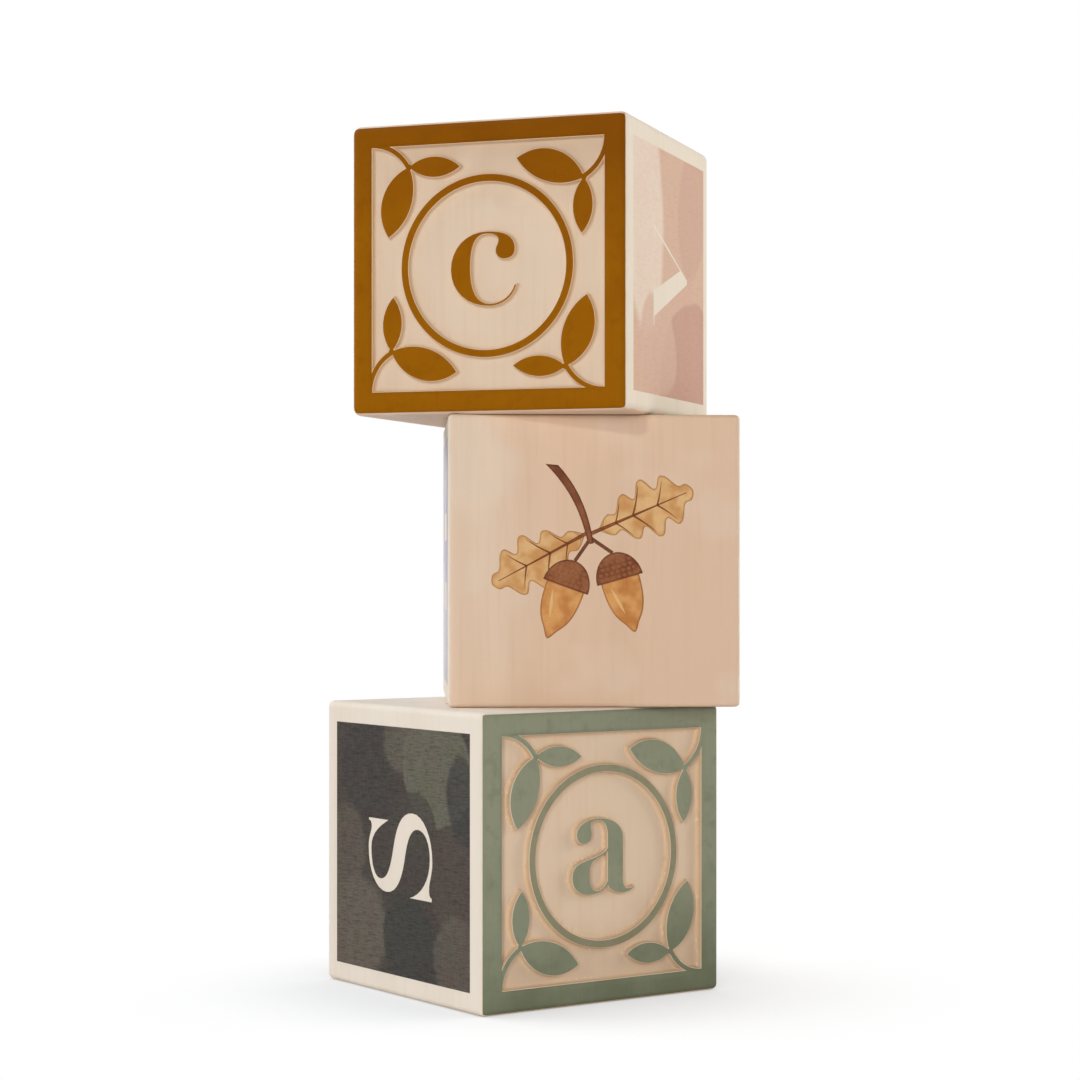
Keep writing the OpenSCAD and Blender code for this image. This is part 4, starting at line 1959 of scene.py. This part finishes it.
class Picture:
    """The picture on one face, as thin washes of colour on the wood."""

    # The side of the triangles' grid and the rise of each wash over the last, in millimetres
    GRID = 0.4
    FILM_STEP = 0.0015
    # How far the small repeated shapes count as lying from their rim, in millimetres
    SMALL_GAP = 0.12
    # A side vein of length 1: half its width at the foot, how far it bends and how much it narrows
    VEIN_HALF = 0.055
    VEIN_BEND = 0.16
    VEIN_NARROWING = 0.62

    def __init__(self, block: Block, side: Side, motif: Motif) -> None:
        """Finds the picture's place.

        Args:
            block: The block.
            side: Its face.
            motif: What the face shows.
        """
        self.block = block
        turn = math.pi if motif is Motif.HANGING_LEAVES else 0.0
        self.face = block.place.face(side) @ Matrix.Rotation(turn, 4, "Z")
        self.prefix = f"{block.name}_{side.word}"
        self.motif = motif
        self.unit = PICTURE_W / 100

    def build(self) -> None:
        """Builds every wash of the picture, from the lowest to the one on top."""
        acorned = self.motif is Motif.ACORNS
        leaves = ACORN_LEAVES if acorned else LEAF_PAIR
        self.lay("leaves", LEAF_WASH, 0, [(leaf.blade(), leaf.lean) for leaf in leaves])
        self.lay("ribs", VEIN_WASH, 2, [(leaf.rib(), leaf.lean) for leaf in leaves])
        self.lay_veins(leaves)
        if acorned:
            self.lay("stalks", TWIG_WASH, 3, [(stalk(acorn.top), IDENTITY) for acorn in ACORNS])
            self.lay("twig", TWIG_WASH, 4, [(bezier(TWIG_ROWS), IDENTITY)])
            self.lay("nuts", NUT_WASH, 5, [(acorn.nut(), acorn.place) for acorn in ACORNS])
            self.lay("gleams", GLEAM_WASH, 6, [(acorn.gleam(), acorn.place) for acorn in ACORNS])
            self.lay("cups", CUP_WASH, 7, [(acorn.cup(), acorn.place) for acorn in ACORNS])
            self.lay_scales()

    def film(self, outline: Sequence[Point], place: Matrix) -> Sheet:
        """Fills one outline with small triangles that know how far they are from its rim.

        Args:
            outline: The outline, in hundredths of the picture's side.
            place: Carries it to its place in the picture, in the same units.

        Returns:
            The filled outline, in millimetres, drawn on z = 0.
        """
        rim = np.array([(place @ Vector((x, y, 0))).xy[:] for x, y in outline]) * self.unit
        ends = (rim, np.roll(rim, -1, axis=0))
        across, up = (np.arange(*span, self.GRID) for span in zip(rim.min(axis=0), rim.max(axis=0)))
        grid = np.array([(x, y) for x in across for y in up])
        inner = grid[(distance_to(grid, *ends) > self.GRID / 3) & within(grid, *ends)]
        points = np.concatenate([rim, inner])
        faces = triangulated(points, [list(range(len(rim)))])
        middles = np.array([points[list(face)].mean(axis=0) for face in faces])
        faces = [face for face, kept in zip(faces, within(middles, *ends)) if kept]
        away = distance_to(points, *ends)
        away[: len(rim)] = 0
        flat = np.column_stack([points, np.zeros(len(points))])
        return Sheet(flat, faces, {"edge_gap": away}).trimmed()

    def finish(self, name: str, sheet: Sheet, wash: Wash, level: int) -> None:
        """Gives a wash its thickness, its colour and its place.

        Args:
            name: What the wash is.
            sheet: Its flat shape, in millimetres.
            wash: Its finish.
            level: How many washes it lies over.
        """
        name = f"{self.prefix}_{name}"
        rise = Matrix.Translation((0, 0, -WOOD_INSET + self.FILM_STEP * (level + 1)))
        add_piece(
            sheet.placed(self.face @ rise),
            name,
            wash.material(name, self.face),
            self.block.body,
            f"{self.prefix}_picture",
            PRINT_T - WOOD_INSET,
            FINE_WELD,
        )

    def lay(
        self,
        name: str,
        wash: Wash,
        level: int,
        shapes: Sequence[tuple[Sequence[Point], Matrix]],
    ) -> None:
        """Lays one wash made of several outlines.

        Args:
            name: What the wash is.
            wash: Its finish.
            level: How many washes it lies over.
            shapes: Each outline with its place.
        """
        self.finish(name, Sheet.joined([self.film(*shape) for shape in shapes]), wash, level)

    def lay_veins(self, leaves: Sequence[OakLeaf]) -> None:
        """Lays the side veins of the leaves, which are one shape set out along each rib.

        Args:
            leaves: The leaves.
        """
        shares = np.linspace(0, 1, 13)
        half, bend = self.VEIN_HALF, self.VEIN_BEND
        upper = [(s, half * (1 - s) ** 0.7 + bend * s * s) for s in shares]
        lower = [(s, -half * (1 - s) ** 0.7 + bend * s * s) for s in reversed(shares[:-1])]
        spots = []
        for leaf in leaves:
            for x, turn, length in leaf.vein_places():
                hand = 1 if turn > 0 else -1
                scale = Matrix.Diagonal((length, self.VEIN_NARROWING * length * hand, 1, 1))
                foot = leaf.lean @ Matrix.Translation((x, 0, 0))
                spots.append(foot @ Matrix.Rotation(turn, 4, "Z") @ scale)
        self.finish("veins", self.repeated([*upper, *lower], spots), VEIN_WASH, 2)

    def lay_scales(self) -> None:
        """Lays the scales of the cups, which are one shape set out in rows."""
        turns = np.linspace(0, 2 * math.pi, 15)[:-1]
        shape = [(1.15 * math.cos(t), 0.95 * math.sin(t) + 0.25 * math.cos(2 * t)) for t in turns]
        spots = [
            acorn.place @ Matrix.Translation((x, y, 0))
            for acorn in ACORNS
            for x, y in acorn.scale_places()
        ]
        self.finish("scales", self.repeated(shape, spots), SCALE_WASH, 8)

    def repeated(self, outline: Sequence[Point], spots: Sequence[Matrix]) -> Sheet:
        """Sets out copies of one small outline with a shape tree.

        Args:
            outline: The outline, in hundredths of the picture's side.
            spots: The place of each copy, in the same units.

        Returns:
            All the copies, in millimetres, drawn on z = 0.
        """
        thing = drawn("spots", [spot.to_translation() * self.unit for spot in spots])
        turns = [math.atan2(spot[1][0], spot[0][0]) for spot in spots]
        longs = [math.hypot(spot[0][0], spot[1][0]) for spot in spots]
        wides = [spot.to_3x3().determinant() / long for spot, long in zip(spots, longs)]
        for key, row in (("turn", turns), ("length", longs), ("width", wides)):
            layer = thing.data.attributes.new(key, "FLOAT", "POINT")
            layer.data.foreach_set("value", np.array(row, np.float32))
        rim = [(x * self.unit, y * self.unit, 0) for x, y in outline]
        seed = drawn("seed", rim, faces=[tuple(range(len(rim)))])
        copies = shaped(thing, copies_tree(), {"Shape": seed})
        copies.faces = [
            face if turns_left(copies.points[list(face)]) else face[::-1] for face in copies.faces
        ]
        copies.values["edge_gap"] = np.full(len(copies.points), self.SMALL_GAP)
        return copies


def turns_left(points: np.ndarray) -> bool:
    """Says whether a flat face's points run anticlockwise."""
    after = np.roll(points, -1, axis=0)
    return float((points[:, 0] * after[:, 1] - after[:, 0] * points[:, 1]).sum()) > 0


@cache
def copies_tree() -> bpy.types.NodeTree:
    """The shape tree that sets a copy of one shape on every point.

    Returns:
        The tree, made once.
    """
    tree = ShapeTree("copies_on_points", {"Shape": "Object"})
    turn, length, width = (
        tree.wire(tree.add("GeometryNodeInputNamedAttribute", {"Name": key}, data_type="FLOAT"))
        for key in ("turn", "length", "width")
    )
    inputs = {
        "Points": tree.given["Geometry"],
        "Instance": tree.shape_of("Shape"),
        "Rotation": tree.whole(Z=turn),
        "Scale": tree.whole(X=length, Y=width, Z=1.0),
    }
    return tree.ended(tree.add("GeometryNodeInstanceOnPoints", inputs))


def distance_to(points: np.ndarray, starts: np.ndarray, ends: np.ndarray) -> np.ndarray:
    """Distance from each point to the nearest of some straight lines.

    Args:
        points: The points.
        starts: Where the lines start.
        ends: Where they end.

    Returns:
        One distance for each point.
    """
    along = ends - starts
    square = np.maximum((along**2).sum(axis=1), 1e-12)
    shares = ((points[:, None] - starts[None]) * along[None]).sum(axis=2) / square
    nearest = starts[None] + np.clip(shares, 0, 1)[:, :, None] * along[None]
    return np.linalg.norm(points[:, None] - nearest, axis=2).min(axis=1)


def within(points: np.ndarray, starts: np.ndarray, ends: np.ndarray) -> np.ndarray:
    """Says which points lie inside a closed outline.

    Args:
        points: The points.
        starts: Where the outline's lines start.
        ends: Where they end.

    Returns:
        True for each point inside.
    """
    x, y = points[:, 0, None], points[:, 1, None]
    crossed = (starts[None, :, 1] > y) != (ends[None, :, 1] > y)
    rise = ends[:, 1] - starts[:, 1]
    share = (y - starts[None, :, 1]) / np.where(rise == 0, 1, rise)[None]
    right = starts[None, :, 0] + share * (ends - starts)[None, :, 0] > x
    return (crossed & right).sum(axis=1) % 2 == 1


# Studio


@dataclass(frozen=True)
class Lamp:
    """A soft lamp that faces the stack.

    Attributes:
        name: Its name.
        place: Where it hangs, in metres.
        size: The side of its square face, in metres.
        power: Its power, in watts.
        colour: Its colour.
    """

    name: str
    place: tuple[float, float, float]
    size: float
    power: float
    colour: Colour

    def hang(self, target: Vector) -> None:
        """Adds the lamp, turned to a point.

        Args:
            target: The point.
        """
        data = bpy.data.lights.new(self.name, "AREA")
        data.shape = "SQUARE"
        data.size = self.size
        data.energy = self.power
        data.color = self.colour
        lamp = bpy.data.objects.new(self.name, data)
        lamp.location = self.place
        lamp.rotation_euler = (target - Vector(self.place)).to_track_quat("-Z", "Y").to_euler()
        bpy.context.scene.collection.objects.link(lamp)


class Studio:
    """The white ground, the soft light and the camera."""

    IMAGE = 1080
    SENSOR = 36.0
    FOCAL_PIXELS = 2572.2
    HORIZON_PIXEL = 567.25
    CAMERA = (0.00310, -0.40563, 0.06570)
    LAMPS = (
        Lamp("key", (-0.30, -1.02, 0.44), 0.07, 2.2, (0.95, 0.98, 1.0)),
        Lamp("fill", (-0.20, -1.50, 0.12), 0.60, 12.0, (1.0, 0.915, 0.80)),
        Lamp("left", (-0.92, 0.34, 0.95), 0.90, 12.7, (0.89, 0.945, 1.0)),
        Lamp("right", (1.15, 0.42, 0.42), 0.90, 11.5, (1.0, 0.96, 0.865)),
    )
    # How bright the surroundings are as a light, where 1 is white
    WORLD = 0.22
    FLOOR_SIDE = 3.0
    # The greys of the floor under the light that bounces off it, and as it is seen
    BOUNCED_GREY = 0.74
    SEEN_GREY = 0.26
    # The floor's own glow beside the stack, and what is added where nothing stands near; the glow
    # dims close to the stack as a painted contact shadow
    GLOW = 0.41
    OPEN_GLOW = 0.37
    # How far the painted contact shadow on the floor reaches, in metres
    NEAR = 0.03
    # How far from the middle of the stack its shadow starts to fade, and where it ends
    SHADOW = (0.030, 0.075)

    def build(self) -> None:
        """Builds the whole studio."""
        self.camera()
        middle = sum(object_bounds(), Vector()) / 2
        for lamp in self.LAMPS:
            lamp.hang(middle)
        self.world()
        self.floor()
        bpy.context.scene.view_settings.view_transform = "Standard"

    def camera(self) -> None:
        """Adds the level camera that the photograph was taken with."""
        data = bpy.data.cameras.new("camera")
        data.sensor_width = self.SENSOR
        data.lens = self.FOCAL_PIXELS * self.SENSOR / self.IMAGE
        data.shift_y = (self.HORIZON_PIXEL - self.IMAGE / 2) / self.IMAGE
        data.clip_start = 0.01
        camera = bpy.data.objects.new("camera", data)
        camera.location = self.CAMERA
        camera.rotation_euler = (math.radians(90), 0, 0)
        bpy.context.scene.collection.objects.link(camera)
        bpy.context.scene.camera = camera

    @staticmethod
    def seen_directly(tree: Tree) -> Wire:
        """Tells the rays that look straight at a surface.

        Args:
            tree: The tree that asks.

        Returns:
            1 for rays from the camera, and for what gloss and glass show, and else 0.
        """
        path = tree.add("ShaderNodeLightPath")
        names = ("Is Camera Ray", "Is Glossy Ray", "Is Transmission Ray")
        camera, glossy, through = (tree.wire(path, name) for name in names)
        return camera.largest(glossy).largest(through)

    def world(self) -> None:
        """Makes the surroundings white to the eye, and softly bright as a light."""
        world = bpy.data.worlds.new("surroundings")
        bpy.context.scene.world = world
        tree = Tree.of(world)
        level = self.WORLD + (1 - self.WORLD) * self.seen_directly(tree)
        light = tree.add("ShaderNodeBackground", {"Color": WHITE, "Strength": level})
        tree.add("ShaderNodeOutputWorld", {"Surface": light})

    def floor(self) -> None:
        """Lays a white floor that shows the stack's shadow, and a painted contact shadow close to
        it.
        """
        corners = np.array([(-1, -1, 0), (1, -1, 0), (1, 1, 0), (-1, 1, 0)]) * self.FLOOR_SIDE
        floor = linked("floor", Sheet(corners, [(0, 1, 2, 3)]).mesh("floor"))
        material = bpy.data.materials.new("floor")
        tree = Tree.of(material)
        plain, faint = (
            tree.add("ShaderNodeBsdfDiffuse", {"Color": (grey, grey, grey, 1)})
            for grey in (self.BOUNCED_GREY, self.SEEN_GREY)
        )
        # The floor's glow dims where the stack stands near: a painted contact shadow
        contact_shadow = tree.add("ShaderNodeAmbientOcclusion", {"Distance": self.NEAR}, samples=8)
        level = self.GLOW + self.OPEN_GLOW * tree.wire(contact_shadow, "AO")
        glow, white = (
            tree.add("ShaderNodeEmission", {"Color": WHITE, "Strength": strength})
            for strength in (level, 1.0)
        )
        near = tree.add("ShaderNodeAddShader", {0: faint, 1: glow})
        where = tree.wire(tree.add("ShaderNodeTexCoord"), "Object")
        away = tree.wire(tree.add("ShaderNodeVectorMath", {0: where}, operation="LENGTH"), "Value")
        far = tree.step(away, *self.SHADOW)
        lit = tree.add("ShaderNodeMixShader", {0: far, 1: near, 2: white})
        seen = self.seen_directly(tree)
        both = tree.add("ShaderNodeMixShader", {0: seen, 1: plain, 2: lit})
        tree.add("ShaderNodeOutputMaterial", {"Surface": both})
        floor.data.materials.append(material)
        floor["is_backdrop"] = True


def boxes(name: str, bounds: tuple[Vector, Vector], sizes: dict[str, list[list[float]]]) -> None:
    sizes[name] = [list(corner) for corner in bounds]


def main() -> None:
    """Loads the frame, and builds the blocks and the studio."""
    logging.basicConfig(level=logging.INFO, format="%(message)s")
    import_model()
    sizes: dict[str, list[list[float]]] = {}
    boxes("cad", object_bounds(), sizes)
    stack = (
        Block(
            "bottom",
            {
                Side.FRONT: Relief(SAGE, "sage_ink", (0.08, -1.0), 1.0, 200),
                Side.BACK: Relief(CLAY, "clay_ink", (0.5, 0.5)),
            },
            {Side.LEFT: (CHARCOAL, "charcoal_print"), Side.RIGHT: (ROSE, "rose_print")},
            {Side.TOP: Motif.HANGING_LEAVES, Side.UNDER: Motif.ACORNS},
            pale=(Side.TOP,),
        ),
        Block(
            "middle",
            {
                Side.TOP: Relief(SAGE, "sage_ink", (-0.5, 0.3), 0.6, 90, 1),
                Side.UNDER: Relief(MUSTARD, "mustard_ink", (0.3, 0.6), 0.6, 90, 1),
            },
            {Side.LEFT: (LILAC, "lilac_print"), Side.RIGHT: (CHARCOAL, "charcoal_print")},
            {Side.FRONT: Motif.ACORNS, Side.BACK: Motif.LEAVES},
            0.75,
        ),
        Block(
            "top",
            {
                Side.FRONT: Relief(MUSTARD, "mustard_ink", (0.2, 0.95), 0.5, 24),
                Side.BACK: Relief(SAGE, "sage_ink", (-0.4, -0.4)),
            },
            {Side.LEFT: (STONE, "stone_print"), Side.RIGHT: (ROSE, "rose_print")},
            {Side.TOP: Motif.ACORNS, Side.UNDER: Motif.LEAVES},
            1.35,
        ),
    )
    for block in stack:
        block.build()
    Studio().build()
    boxes("visual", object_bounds(), sizes)


if __name__ == "__main__":
    main()
